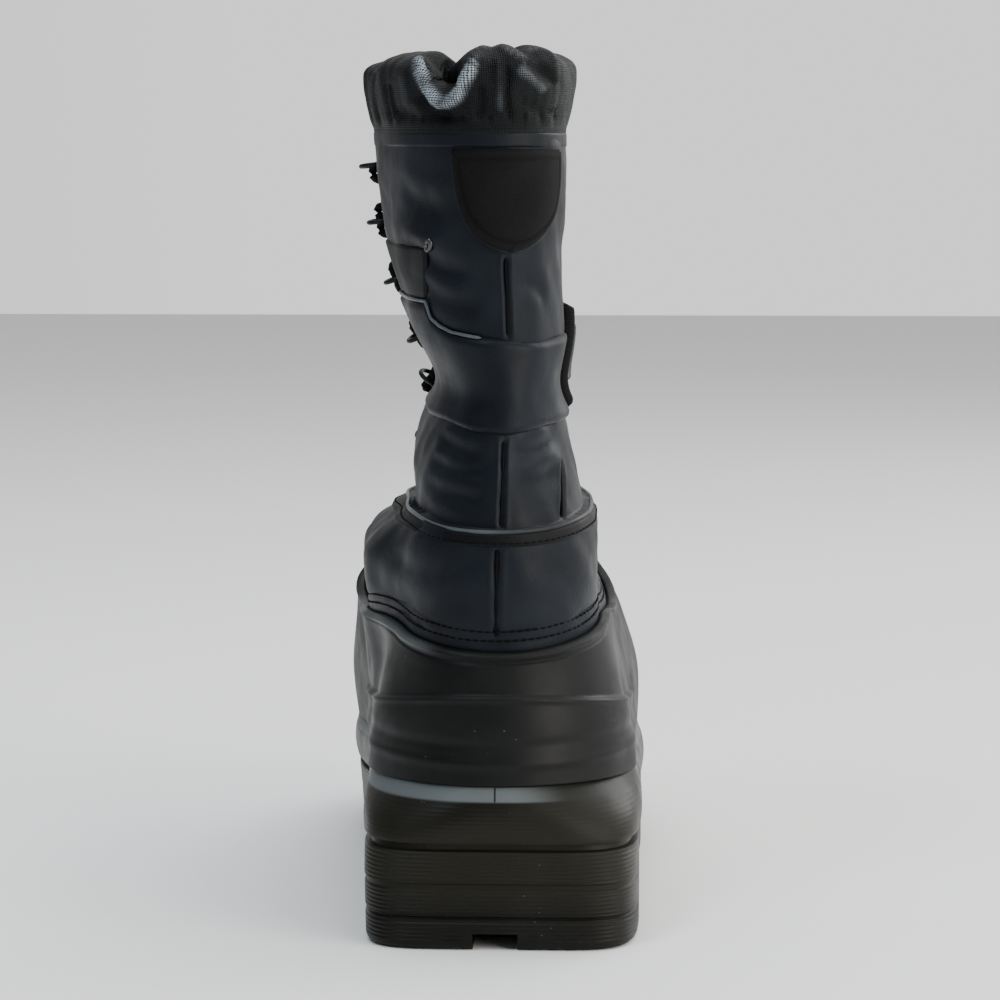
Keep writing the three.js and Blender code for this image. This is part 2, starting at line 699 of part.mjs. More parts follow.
function outsoleSolid() {
  const around = 48;
  const rings = soleProfile().map(({ down, out }) =>
    angles(around).map((angle) => {
      const rim = rimHeight(angle);
      const share = down / RIM_HEEL;
      const point = skinPoint(0, angle);
      const tread = treadHeight(point.y);
      const forward = smooth((point.y + HEEL_SETBACK) / FOOT_LENGTH / BALL_STATION);
      const side = Math.sin(angle);
      const taper = mix(SOLE_TAPER_HEEL, SOLE_TAPER, forward) * share;
      const flare = mix(SOLE_FLARE, SOLE_FLARE_BALL, forward) * smooth(share / FLARE_SHARE);
      const shift = Math.abs(side) * (side > 0 ? -taper : flare);
      return outlinePoint(angle, out + shift, mix(rim, tread, share), smooth(share / SQUARE_SHARE));
    }),
  );
  const inner = SOLE_PROUD - SOLE_WALL;
  rings.push(angles(around).map((angle) => outlinePoint(angle, inner, rimHeight(angle))));
  rings.push(angles(around).map((angle) => outlinePoint(angle, inner, floorHeight(angle))));
  let solid = spannedSolid(rings, around);
  for (const cutter of lugCutters()) solid = solid.subtract(cutter);
  return solid;
}

// Height of the floor inside the outsole
const floorHeight = (angle) => mix(FLOOR_HEEL, FLOOR_TOE, forwardShare(angle));

// Closes the first and last ring by strips from side to side, so that a curved tread stays true
function spannedSolid(rings, around) {
  const positions = [];
  const faces = [];
  rings.forEach((ring) => ring.forEach((p) => positions.push(p.x, p.y, p.z)));
  const at = (i, j) => i * around + (j % around);
  for (let i = 0; i < rings.length - 1; i += 1) {
    for (let j = 0; j < around; j += 1) {
      faces.push(at(i, j), at(i + 1, j), at(i + 1, j + 1));
      faces.push(at(i, j), at(i + 1, j + 1), at(i, j + 1));
    }
  }
  const cap = (i, flip) => {
    for (let j = 0; j < around / 2; j += 1) {
      const quad = [at(i, j), at(i, j + 1), at(i, around - j - 1), at(i, around - j)];
      const corners = [];
      if (j > 0) corners.push([quad[0], quad[2], quad[3]]);
      if (j < around / 2 - 1) corners.push([quad[0], quad[1], quad[2]]);
      corners.forEach((c) => faces.push(...(flip ? c.slice().reverse() : c)));
    }
  };
  cap(0, false);
  cap(rings.length - 1, true);
  return orientedSolid(positions, faces);
}

// Channels between the lugs, and the notch at the back of the heel
function lugCutters() {
  const cutters = [];
  const below = 4;
  const box = (width, length, height, x, y, z, turn = 0) => {
    const geometry = new THREE.BoxGeometry(width, length, height);
    geometry.rotateZ(turn);
    geometry.translate(x, y, z);
    cutters.push(fromGeometry(geometry));
  };
  const heelBack = -HEEL_SETBACK - SOLE_PROUD;
  box(NOTCH_WIDTH, NOTCH_LENGTH * 2, 2 * LUG_DEPTH, 0, heelBack, 0);
  for (const { along, across, turn, lengthwise } of TREAD_CHANNELS) {
    const y = along * FOOT_LENGTH;
    const top = treadHeight(y) + LUG_DEPTH;
    const length = lengthwise ? lengthwise * FOOT_LENGTH : CHANNEL_WIDTH;
    const width = lengthwise ? CHANNEL_WIDTH : 2 * BALL_WIDTH;
    box(width, length, top + below, across * BALL_WIDTH, y, (top - below) / 2, degrees(turn));
  }
  return cutters;
}

function insoleSolid() {
  const around = 40;
  const out = SOLE_PROUD - SOLE_WALL - INSOLE_CLEARANCE;
  const level = (height) =>
    angles(around).map((angle) => outlinePoint(angle, out, floorHeight(angle) + height));
  return spannedSolid([level(GAP), level(GAP + INSOLE_THICKNESS)], around);
}

function tongueSolid() {
  const low = placeAtFront(INSTEP_HEIGHT - TONGUE_BELOW);
  const high = placeAtFront(COLLAR_SEAM) - 0.01;
  const face = -COUNTER_STEP - UPPER_WALL - GAP;
  return skinPatch({
    places: spread(low, high, 10),
    edges: (place) => [
      angleAway(place, FRONT, -TONGUE_WIDTH / 2),
      angleAway(place, FRONT, TONGUE_WIDTH / 2),
    ],
    across: 8,
    outer: () => face + CUT_REACH,
    inner: () => face - TONGUE_THICKNESS,
  }).intersect(INSIDE_UPPER);
}

const TAB_ANGLE = TURN * TAB_AT;
const EYESTAY_LOW = placeAtFront(column("frontZ", COUNTER_PLACE) + EYESTAY_START);
const EYESTAY_HIGH = placeAtFront(column("frontZ", SEAM_PLACE) - EYESTAY_END);
const shaftFace = -COUNTER_STEP + GAP;

// side: -1 on the inner side of the foot, 1 on the outer side
function eyestaySolid(side) {
  const near = (place) => throatHalf(place) + EYESTAY_SETBACK;
  return skinPatch({
    places: spread(EYESTAY_LOW, EYESTAY_HIGH, 10),
    edges: (place) => [
      angleAway(place, FRONT, side * near(place)),
      angleAway(place, FRONT, side * (near(place) + EYESTAY_WIDTH)),
    ],
    across: 3,
    inner: () => shaftFace - CUT_REACH,
    outer: () => shaftFace + EYESTAY_THICKNESS,
  }).subtract(ON_UPPER);
}

// Where a lace ring stands: its foot on the eyestay and the frame that it is turned to
function ringSeat(row, side) {
  const first = placeAtFront(column("frontZ", EYESTAY_LOW) + RING_FIRST);
  const last = placeAtFront(column("frontZ", EYESTAY_HIGH) - RING_LAST);
  const height = mix(column("frontZ", first), column("frontZ", last), row / (RING_COUNT - 1));
  const place = placeAtFront(height);
  const angle = angleAway(place, FRONT, side * (throatHalf(place) + EYESTAY_SETBACK + RING_SETBACK));
  const up = skinNormal(place, angle);
  const along = skinPoint(place + 0.05, angle).sub(skinPoint(place - 0.05, angle)).normalize();
  along.addScaledVector(up, -along.dot(up)).normalize();
  const across = new THREE.Vector3().crossVectors(along, up);
  const foot = offsetPoint(place, angle, shaftFace + EYESTAY_THICKNESS + RING_GAP);
  return { place, angle, side, foot, up, along, across };
}

// Height of a ring's middle over the foot of its rivet, which the wire sinks into
const RING_CENTRE = RIVET_HEIGHT + RING_RADIUS - RING_SINK;

// A ring on a rivet: the rivet lies on the eyestay, the ring stands on it, its hole along the shaft
function ringGeometry() {
  const rivet = new THREE.CylinderGeometry(RIVET_RADIUS, RIVET_RADIUS, RIVET_HEIGHT, 8);
  rivet.rotateX(Math.PI / 2);
  rivet.translate(0, 0, RIVET_HEIGHT / 2);
  const ring = new THREE.TorusGeometry(RING_RADIUS, RING_WIRE / 2, 4, 9);
  ring.rotateX(Math.PI / 2);
  ring.translate(0, 0, RING_CENTRE);
  return toGeometry(fromGeometry(rivet).add(fromGeometry(ring)));
}

// The lace zigzags through the rings from the lowest row to the highest, over the eyestays and the tongue
function laceSolid() {
  const section = new THREE.Shape().absarc(0, 0, LACE_DIAMETER / 2, 0, TURN);
  const over = shaftFace + EYESTAY_THICKNESS + RING_GAP + RING_CENTRE;
  const strand = (points) => {
    const curve = new THREE.CatmullRomCurve3(points);
    return fromGeometry(
      new THREE.ExtrudeGeometry(section, { steps: 9, curveSegments: 3, extrudePath: curve }),
    );
  };
  const through = (seat, share) =>
    seat.foot.clone()
      .addScaledVector(seat.up, RING_CENTRE)
      .addScaledVector(seat.across, LACE_PULL * seat.side)
      .addScaledVector(seat.along, LACE_REACH * share);
  const crossing = (from, to, fromShare, toShare) => {
    const between = [0.3, 0.5, 0.7].map((k) =>
      offsetPoint(mix(from.place, to.place, k), mix(from.angle, to.angle, k), over));
    return strand([
      through(from, -0.1 * fromShare),
      through(from, fromShare),
      ...between,
      through(to, toShare),
      through(to, -0.1 * toShare),
    ]);
  };
  const pieces = [crossing(ringSeat(0, -1), ringSeat(0, 1), -1, -1)];
  for (let row = 0; row < RING_COUNT - 1; row += 1) {
    for (const side of [-1, 1]) {
      pieces.push(crossing(ringSeat(row, side), ringSeat(row + 1, -side), 1, -1));
    }
  }
  return pieces.reduce((sum, piece) => sum.add(piece));
}

function strapSolid() {
  const low = placeAtBack(STRAP_BOTTOM);
  const high = placeAtBack(STRAP_TOP);
  const clear = (place) => throatHalf(place) + EYESTAY_SETBACK + EYESTAY_WIDTH + STRAP_CLEARANCE;
  return skinPatch({
    places: spread(low, high, 6),
    edges: (place) => [
      angleAway(place, TAB_ANGLE, TAB_LENGTH / 2 + GAP) - TURN,
      angleAway(place, FRONT, -clear(place)),
    ],
    across: 16,
    inner: () => shaftFace - CUT_REACH,
    outer: () => shaftFace + STRAP_THICKNESS,
  }).subtract(ON_UPPER);
}

// A patch on the outer side of the ankle, as long and as high as asked, between two depths over the face
function tabPatch({ length, height, low, high, across }) {
  const centre = (STRAP_BOTTOM + STRAP_TOP) / 2 + TAB_RAISE;
  return skinPatch({
    places: spread(
      placeAtHeight(TAB_ANGLE, centre - height / 2),
      placeAtHeight(TAB_ANGLE, centre + height / 2),
      4,
    ),
    edges: (place) => [
      angleAway(place, TAB_ANGLE, -length / 2),
      angleAway(place, TAB_ANGLE, length / 2),
    ],
    across,
    inner: () => low,
    outer: () => high,
  });
}

function strapEndSolid() {
  return tabPatch({
    length: TAB_LENGTH,
    height: TAB_HEIGHT,
    low: shaftFace - CUT_REACH,
    high: shaftFace + TAB_THICKNESS,
    across: 6,
  }).subtract(ON_UPPER);
}

function keeperSolid() {
  const seat = shaftFace + TAB_THICKNESS + KEEPER_GAP;
  return tabPatch({
    length: KEEPER_LENGTH,
    height: KEEPER_HEIGHT,
    low: seat,
    high: seat + KEEPER_THICKNESS,
    across: 2,
  });
}

function padSolid() {
  const low = placeAtBack(PAD_BOTTOM);
  const high = placeAtBack(PAD_TOP);
  return skinPatch({
    places: spread(0, 1, PAD_ROWS).map((k) => mix(low, high, k ** PAD_CROWDING)),
    edges: (place) => {
      const rise = mix(PAD_FOOT_WIDTH, 1, (place - low) / (high - low));
      const half = (PAD_WIDTH / 2) * Math.sqrt(Math.max(0, 1 - (1 - rise) ** PAD_SQUARENESS));
      return [angleAway(place, 0, -PAD_SHIFT - half), angleAway(place, 0, half - PAD_SHIFT)];
    },
    across: 8,
    inner: () => shaftFace - CUT_REACH,
    outer: () => shaftFace + PAD_THICKNESS,
  }).subtract(ON_UPPER);
}

// The collar's cloth: v runs from the seam over the bulge to the tucked lip. inward and down: how far the
// point lies under the cloth's face.
function collarPoint(v, angle, inward, down) {
  const climb = Math.sin(clamp01(v / COLLAR_CREST) * (Math.PI / 2));
  const tuck = COLLAR_TUCK * clamp01((v - COLLAR_CREST) / (1 - COLLAR_CREST)) ** 2;
  const bulge = COLLAR_BULGE * Math.sin(clamp01(v / COLLAR_BELLY) * Math.PI);
  const lip = COLLAR_LIP * smooth((v - LIP_START) / LIP_SPAN);
  let dent = 0;
  let drop = 0;
  for (const fold of COLLAR_FOLDS) {
    const away = (angle / degrees(1) - fold.at + 540) % 360 - 180;
    const share = Math.exp(-((away / fold.spread) ** 2));
    dent += fold.dent * share;
    drop += fold.drop * share;
  }
  const slack = Math.sin(clamp01(v / COLLAR_CREST) * (Math.PI / 2)) * Math.sin((v * Math.PI) / 2 + 0.2);
  const out = -COUNTER_STEP + bulge - lip - dent * COLLAR_RISE * slack - inward;
  const base = skinPoint(SEAM_PLACE, angle);
  const normal = skinNormal(SEAM_PLACE, angle).setZ(0).normalize();
  const fall = COLLAR_FALL * forwardShare(angle);
  const height = COLLAR_SEAM + GAP + COLLAR_RISE * climb - tuck - (drop * COLLAR_RISE + fall) * smooth(v);
  return new THREE.Vector3(base.x + normal.x * out, base.y + normal.y * out, height - down);
}

function collarSolid() {
  const around = 44;
  const steps = 7;
  const ringAt = (v, inward, down) => angles(around).map((angle) => collarPoint(v, angle, inward, down));
  const rings = [];
  for (let k = 0; k <= steps; k += 1) rings.push(ringAt(k / steps, 0, 0));
  for (let k = steps; k >= 0; k -= 1) {
    const v = k / steps;
    const over = smooth((v - EDGE_TURN) / EDGE_TURN_SPAN);
    const thinning = smooth((v - 1 + EDGE_THINNING) / EDGE_THINNING) / 2;
    rings.push(ringAt(v, COLLAR_WALL * (1 - over - thinning), COLLAR_WALL * over));
  }
  return gridSolid(rings);
}

addPiece("outsole", toGeometry(outsoleSolid()), MATERIALS.rubber);
addPiece("shell", toGeometry(shellSolid()), MATERIALS.shellRubber);
addPiece("upper", toGeometry(upperSolid()), MATERIALS.coatedFabric);
addPiece("insole", toGeometry(insoleSolid()), MATERIALS.lining);
addPiece("tongue", toGeometry(tongueSolid()), MATERIALS.coatedFabric);
addPiece("eyestay_medial", toGeometry(eyestaySolid(-1)), MATERIALS.webbing);
addPiece("eyestay_lateral", toGeometry(eyestaySolid(1)), MATERIALS.webbing);
addPiece("ankle_strap", toGeometry(strapSolid()), MATERIALS.coatedFabric);
addPiece("strap_end", toGeometry(strapEndSolid()), MATERIALS.webbing);
addPiece("strap_keeper", toGeometry(keeperSolid()), MATERIALS.metal);
addPiece("back_pad", toGeometry(padSolid()), MATERIALS.padFabric);
addPiece("snow_collar", toGeometry(collarSolid()), MATERIALS.nylon);

const ring = ringGeometry();
for (let row = 0; row < RING_COUNT; row += 1) {
  for (const [side, word] of [[-1, "medial"], [1, "lateral"]]) {
    const seat = ringSeat(row, side);
    const mesh = addPiece(`lace_ring_${word}_${row + 1}`, ring, MATERIALS.metal);
    mesh.position.copy(seat.foot);
    mesh.quaternion.setFromRotationMatrix(
      new THREE.Matrix4().makeBasis(seat.across, seat.along.clone(), seat.up),
    );
  }
}
addPiece("lace", toGeometry(laceSolid()), MATERIALS.webbing);

export default boot;
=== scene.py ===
# Looks for the right snow boot. Sizes are millimetres until a mesh is made, in the frame of the CAD part:
# +X is the outer side of the foot, +Y the toe, +Z up.
import json
import math

import bpy
import numpy as np
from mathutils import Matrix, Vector

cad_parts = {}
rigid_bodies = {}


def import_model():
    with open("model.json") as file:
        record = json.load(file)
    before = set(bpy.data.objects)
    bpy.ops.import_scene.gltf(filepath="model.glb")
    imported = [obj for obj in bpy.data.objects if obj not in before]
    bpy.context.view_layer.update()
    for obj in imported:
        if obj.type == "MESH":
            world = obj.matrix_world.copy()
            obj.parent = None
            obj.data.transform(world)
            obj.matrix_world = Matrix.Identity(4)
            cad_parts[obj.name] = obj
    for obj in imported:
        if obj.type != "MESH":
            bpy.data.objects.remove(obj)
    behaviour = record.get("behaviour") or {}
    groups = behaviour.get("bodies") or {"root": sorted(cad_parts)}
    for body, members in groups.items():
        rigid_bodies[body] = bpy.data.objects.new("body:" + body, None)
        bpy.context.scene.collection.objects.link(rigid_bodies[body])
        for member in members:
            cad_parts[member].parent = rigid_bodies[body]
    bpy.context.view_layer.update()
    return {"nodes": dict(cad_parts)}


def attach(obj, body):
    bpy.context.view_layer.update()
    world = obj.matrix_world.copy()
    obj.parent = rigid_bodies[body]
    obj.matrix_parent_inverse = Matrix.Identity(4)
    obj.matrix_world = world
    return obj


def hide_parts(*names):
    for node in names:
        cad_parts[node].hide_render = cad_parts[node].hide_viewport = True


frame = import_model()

MM = 0.001
TURN = 2 * math.pi
FRONT = math.pi

# Driving sizes of the foot
FOOT_LENGTH = 293
HEEL_WIDTH = 90
BALL_WIDTH = 106
HEEL_SETBACK = 42.7
TOE_INSET = 8

# Heights above the floor
RIM_HEEL = 59
RIM_TOE = 44
SHELL_TOP = 106
COUNTER_TOP = 149
INSTEP_HEIGHT = 133
STRAP_BOTTOM = 184
STRAP_TOP = 216
PAD_BOTTOM = 247
PAD_TOP = 282
COLLAR_SEAM = 289
COLLAR_RISE = 31

# Driving sizes of the shaft
SHAFT_WIDTH = 66
SHAFT_DEPTH = 133
SHAFT_LEAN = 12.5
SHAFT_TURN = 14.5
SHAFT_HEEL_ROUND = 0.42
SHAFT_TOE_ROUND = 0.46

# Walls, steps and clearances
UPPER_WALL = 2.4
COUNTER_STEP = 3.4
COUNTER_LIFT = 1.5
SHELL_WALL = 3
EDGE_DIP = 14
GAP = 0.3

# Outsole
SOLE_PROUD = 5
SOLE_WALL = 7
FLOOR_HEEL = 30
FLOOR_TOE = 19
ARCH_RISE = 9
TOE_SPRING = 15
BEVEL_HEIGHT = 5.5
BEVEL_DEPTH = 1.4
BAND_HEIGHT = 15
BAND_PROUD = 0.9
GROOVE_DEPTH = 2.2
GROOVE_HEIGHT = 3
RIB_DEPTH = 0.9
RIB_HEIGHT = 1.2
RIB_PLACES = [0.36, 0.68]
TREAD_CORNER = 3.2
SOLE_TAPER = 4
SOLE_TAPER_HEEL = 2.4
SOLE_FLARE = 1.5
SOLE_FLARE_BALL = 0.45
HEEL_SQUARE = 5
LUG_DEPTH = 6
CHANNEL_WIDTH = 6
NOTCH_WIDTH = 16
NOTCH_LENGTH = 22
BALL_TURN = -8
BALL_TURN_STEP = 3

# Tongue
TONGUE_THICKNESS = 3
TONGUE_WIDTH = 58
TONGUE_BELOW = 8

# Throat, eyestays, rings and lace
THROAT_START = 3
THROAT_FOOT_WIDTH = 14
THROAT_TOP_WIDTH = 26
EYESTAY_WIDTH = 24
EYESTAY_THICKNESS = 1.6
EYESTAY_START = 5
EYESTAY_END = 3
EYESTAY_SETBACK = 2
RING_COUNT = 6
RING_RADIUS = 4.8
RING_WIRE = 1.8
RING_SETBACK = 13
RIVET_RADIUS = 3.6
RIVET_HEIGHT = 1.2
RING_FIRST = 12
RING_LAST = 9
RING_SINK = 0.7
RING_GAP = 0.8
LACE_DIAMETER = 3.6
LACE_REACH = 5
LACE_PULL = 1.4

# Strap, tab and pad
STRAP_THICKNESS = 1.7
STRAP_CLEARANCE = 1.5
TAB_LENGTH = 34
TAB_HEIGHT = 37
TAB_THICKNESS = 5
TAB_RAISE = 8
KEEPER_LENGTH = 9
KEEPER_HEIGHT = 22
KEEPER_THICKNESS = 2
PAD_WIDTH = 53
PAD_SHIFT = 5
PAD_THICKNESS = 1.6
PAD_FOOT_WIDTH = 0.015
PAD_SQUARENESS = 1.85

# Collar
COLLAR_WALL = 2
COLLAR_BULGE = 4
COLLAR_LIP = 12
COLLAR_TUCK = 9
COLLAR_FALL = 9
COLLAR_CREST = 0.72
COLLAR_BELLY = 0.66
LIP_START = 0.38
LIP_SPAN = 0.5
EDGE_TURN = 0.45
EDGE_TURN_SPAN = 0.3
EDGE_THINNING = 0.15

# Moulded relief of the shell
PANEL_PROUD = 1.3
PANEL_TOP = 91
PANEL_FALL = 14
FLEX_GROOVE = 1.6

def table(heads, *rows):
    return [dict(zip(heads.split(), row)) for row in rows]


# Sections of the foot, from the outsole rim to the counter's top. Each lies in one tilted plane.
# rise: height of its back end, a share of the way from rim to counter top.
# back and front: places of its ends, shares of the foot length from the heel.
# lift: height of its front end, a share of the way from toe rim to instep.
# heel, waist and ball: half-widths on the inner (In) and outer (Out) side, shares of the heel width for
# heel and waist and of the ball width for ball. heelEnd and toeEnd: shares of the length that round off.
FOOT_SECTIONS = table(
    "rise back front lift heelIn heelOut waistIn waistOut ballIn ballOut heelEnd toeEnd",
    (0.0, 0.0, 1.0, 0.0, 0.495, 0.505, 0.54, 0.5, 0.553, 0.465, 0.19, 0.27),
    (0.21, 0.005, 0.98, 0.27, 0.478, 0.478, 0.56, 0.495, 0.572, 0.468, 0.18, 0.28),
    (0.37, 0.012, 0.925, 0.57, 0.444, 0.444, 0.575, 0.455, 0.555, 0.405, 0.19, 0.31),
    (0.44, 0.016, 0.79, 0.8, 0.42, 0.42, 0.575, 0.425, 0.545, 0.357, 0.21, 0.4),
    (0.522, 0.018, 0.603, 1.0, 0.405, 0.4, 0.57, 0.392, 0.535, 0.325, 0.26, 0.5),
    (0.767, 0.009, 0.548, 1.14, 0.42, 0.4, 0.57, 0.385, 0.52, 0.325, 0.3, 0.5),
    (0.93, 0.008, 0.522, 1.215, 0.402, 0.387, 0.46, 0.387, 0.42, 0.305, 0.33, 0.485),
    (1.0, 0.009, 0.514, 1.25, 0.362, 0.374, 0.395, 0.37, 0.37, 0.295, 0.34, 0.48),
)

# Sections of the shaft, from above the counter to past the collar seam.
# rise: height of its back end, a share of the way from counter top to collar seam.
# slope: how much higher its front end lies, a share of the shaft depth.
# back: place of its back end and depth: its length, shares of the shaft depth from the heel's back.
# width: its half-width, a share of the shaft width. lean: shift to the inner side, a share of the lean.
# turn: turn of the front to the inner side, a share of the shaft's turn.
SHAFT_SECTIONS = table(
    "rise slope back depth width lean turn",
    (0.12, 0.06, 0.035, 1.03, 0.5, 0.3, 0.25),
    (0.243, 0.05, 0.05, 0.963, 0.44, 0.29, 0.31),
    (0.336, 0.038, 0.058, 0.925, 0.36, 0.18, 0.38),
    (0.479, 0.023, 0.054, 0.914, 0.445, 0.45, 0.56),
    (0.679, 0.015, 0.035, 0.94, 0.505, 0.86, 0.8),
    (0.807, 0.008, 0.016, 0.966, 0.527, 0.92, 0.94),
    (1.0, 0.0, -0.002, 1.0, 0.54, 1.04, 1.0),
    (1.25, 0.0, -0.002, 1.0, 0.54, 1.08, 1.0),
)

# Stations of the half-widths along a section
HEEL_STATION = 0.16
WAIST_STATION = 0.42
BALL_STATION = 0.7
TOE_SHIFT_STATION = 0.45

# Places round the boot, in turns from the back: end of the heel panel and its fade, the flex groove and its
# spread, and the middle of the strap's end
PANEL_END = 0.2
PANEL_FADE = 0.032
GROOVE_AT = 0.242
GROOVE_SPREAD = 0.0143
TAB_AT = 0.733

# Shares of the outsole's depth by which its outer flare and its square heel are reached
FLARE_SHARE = 0.33
SQUARE_SHARE = 0.62

# Shares of the way forward: where the shell's edge starts to dip, and where the counter's edge has risen to
# its full lift, starts to fall again and is down
DIP_START = 0.2
LIFT_STATIONS = dict(risen=0.25, falling=0.45, down=0.75)

# Stations of the tread along the foot: the arch rises and falls again between these, then the toe springs
ARCH_STATIONS = dict(start=0.3, risen=0.4, falling=0.42, end=0.54)
SPRING_STATIONS = dict(start=0.7, end=1.12)
SPRING_GAIN = 1.25

# Channels cut into the tread. along and across: place of the middle, shares of the foot length and the ball
# width. turn: degrees. A lengthwise one runs for a share of the foot length, the others right across.
TREAD_CHANNELS = table(
    "along across turn lengthwise",
    (-0.052, 0, 0, 0),
    (0.052, 0, 0, 0),
    *((0.4 + 0.075 * i, 0, BALL_TURN + BALL_TURN_STEP * i, 0) for i in range(6)),
    (0.56, -0.17, 3, 0.44),
    (0.56, 0.11, 3, 0.44),
)

# Folds of the collar. at: degrees round from the back, over the inner side. spread: degrees.
# dent: how deep it sinks and drop: how far the rim falls there, shares of the collar's rise.
COLLAR_FOLDS = table(
    "at spread dent drop",
    (8, 9, 0.1, 0.06),
    (38, 12, 0.26, 0.36),
    (62, 8, 0.08, 0.03),
    (88, 9, 0.14, 0.12),
    (122, 11, 0.12, 0.16),
    (158, 9, 0.15, 0.1),
    (197, 9, 0.14, 0.13),
    (236, 11, 0.12, 0.1),
    (274, 9, 0.14, 0.12),
    (308, 10, 0.12, 0.08),
    (340, 9, 0.13, 0.1),
)


def clamp01(v):
    return np.clip(v, 0.0, 1.0)


def smooth(v):
    v = clamp01(v)
    return v * v * (3 - 2 * v)


def mix(a, b, k):
    return a + (b - a) * k


def hill(value, middle, width):
    """1 at the middle, falling softly to 0 some widths away."""
    return np.exp(-((value - middle) / width) ** 2)


def section_rows():
    """Turns both tables into sections in millimetres with the same columns."""
    rows = []
    for s in FOOT_SECTIONS:
        row = dict(backY=s["back"] * FOOT_LENGTH - HEEL_SETBACK,
                   frontY=s["front"] * FOOT_LENGTH - HEEL_SETBACK,
                   backZ=mix(RIM_HEEL, COUNTER_TOP, s["rise"]), frontZ=mix(RIM_TOE, INSTEP_HEIGHT, s["lift"]),
                   heelEnd=s["heelEnd"], toeEnd=s["toeEnd"], lean=0, turn=0,
                   toe=TOE_INSET * clamp01((s["front"] - 0.5) * 2))
        for station, width in (("heel", HEEL_WIDTH), ("waist", HEEL_WIDTH), ("ball", BALL_WIDTH)):
            for side in ("In", "Out"):
                row[station + side] = s[station + side] * width
        rows.append(row)
    for s in SHAFT_SECTIONS:
        back_z = mix(COUNTER_TOP, COLLAR_SEAM, s["rise"])
        back_y = s["back"] * SHAFT_DEPTH - HEEL_SETBACK
        row = dict(backY=back_y, frontY=back_y + s["depth"] * SHAFT_DEPTH, backZ=back_z,
                   frontZ=back_z + s["slope"] * SHAFT_DEPTH, heelEnd=SHAFT_HEEL_ROUND, toeEnd=SHAFT_TOE_ROUND,
                   lean=s["lean"] * SHAFT_LEAN, turn=math.radians(s["turn"] * SHAFT_TURN), toe=0)
        for station in ("heel", "waist", "ball"):
            row[station + "In"] = row[station + "Out"] = s["width"] * SHAFT_WIDTH
        rows.append(row)
    return rows


ROWS = section_rows()
LAST = len(ROWS) - 1
COLUMNS = {name: np.array([row[name] for row in ROWS], float) for name in ROWS[0]}


def column(name, place):
    values = COLUMNS[name]
    place = np.asarray(place, float)
    i = np.clip(np.floor(place).astype(int), 0, LAST - 1)
    k = place - i
    a, b, c, d = (values[np.clip(i + n, 0, LAST)] for n in (-1, 0, 1, 2))
    k2, k3 = k * k, k * k * k
    return ((2 * k3 - 3 * k2 + 1) * b + (k3 - 2 * k2 + k) * (c - a) / 2
            + (3 * k2 - 2 * k3) * c + (k3 - k2) * (d - b) / 2)


def forward(angle):
    return 0.5 - 0.5 * np.cos(angle)


def half_width(u, heel, waist, ball):
    near = mix(heel, waist, smooth((u - HEEL_STATION) / (WAIST_STATION - HEEL_STATION)))
    far = mix(waist, ball, smooth((u - WAIST_STATION) / (BALL_STATION - WAIST_STATION)))
    return np.where(u < WAIST_STATION, near, far)


def skin(place, angle):
    """Points of the boot's own skin, in an array with a last axis of 3."""
    place, angle = np.broadcast_arrays(np.asarray(place, float), np.asarray(angle, float))
    c = lambda name: column(name, place)
    u = forward(angle)
    inner = np.sin(angle) > 0
    at = lambda name: np.where(inner, c(name + "In"), c(name + "Out"))
    wide = half_width(u, at("heel"), at("waist"), at("ball"))
    heel_end, toe_end = c("heelEnd"), c("toeEnd")
    heel_round = np.sqrt(1 - clamp01((heel_end - u) / heel_end) ** 2)
    toe_round = np.sqrt(1 - clamp01((u - 1 + toe_end) / toe_end) ** 2)
    inset = c("toe") * smooth((u - TOE_SHIFT_STATION) / (1 - TOE_SHIFT_STATION))
    across = np.where(inner, -1, 1) * wide * heel_round * toe_round - inset
    back_y, front_y, turn = c("backY"), c("frontY"), c("turn")
    along = (2 * u - 1) * (front_y - back_y) / 2
    return np.stack([across * np.cos(turn) - along * np.sin(turn) - c("lean"),
                     (front_y + back_y) / 2 + across * np.sin(turn) + along * np.cos(turn),
                     mix(c("backZ"), c("frontZ"), u)], -1)


def unit(v):
    return v / np.maximum(np.linalg.norm(v, axis=-1, keepdims=True), 1e-12)


def skin_normal(place, angle):
    step = 0.02
    place = np.asarray(place, float)
    up = skin(np.minimum(place + step, LAST), angle) - skin(np.maximum(place - step, 0), angle)
    return unit(np.cross(up, skin(place, angle + step) - skin(place, angle - step)))


def offset(place, angle, out):
    return skin(place, angle) + skin_normal(place, angle) * np.asarray(out, float)[..., None]


def solve_place(value, wanted):
    low = np.zeros(np.shape(wanted))
    high = np.full(np.shape(wanted), float(LAST))
    for _ in range(40):
        middle = (low + high) / 2
        less = value(middle) < wanted
        low, high = np.where(less, middle, low), np.where(less, high, middle)
    return (low + high) / 2


def place_at_back(height):
    return solve_place(lambda p: column("backZ", p), np.asarray(height, float))


def place_at_front(height):
    return solve_place(lambda p: column("frontZ", p), np.asarray(height, float))


def place_at(angle, height):
    height = np.asarray(height, float) + np.zeros(np.shape(angle))
    return solve_place(lambda p: skin(p, angle)[..., 2], height)


SHELL_PLACE = float(place_at_back(SHELL_TOP))
COUNTER_PLACE = float(place_at_back(COUNTER_TOP))
SEAM_PLACE = float(place_at_back(COLLAR_SEAM))
STEP_SPAN = 0.06
SHAFT_FACE = GAP - COUNTER_STEP


def shell_edge(angle):
    dip = np.sin(math.pi * clamp01((forward(angle) - DIP_START) / (1 - DIP_START))) ** 2
    return skin(SHELL_PLACE, angle)[..., 2] - EDGE_DIP * dip


def counter_edge(angle):
    u = forward(angle)
    risen, falling, down = (LIFT_STATIONS[k] for k in ("risen", "falling", "down"))
    lift = smooth(u / risen) * (1 - smooth((u - falling) / (down - falling)))
    return skin(COUNTER_PLACE, angle)[..., 2] + COUNTER_LIFT * lift


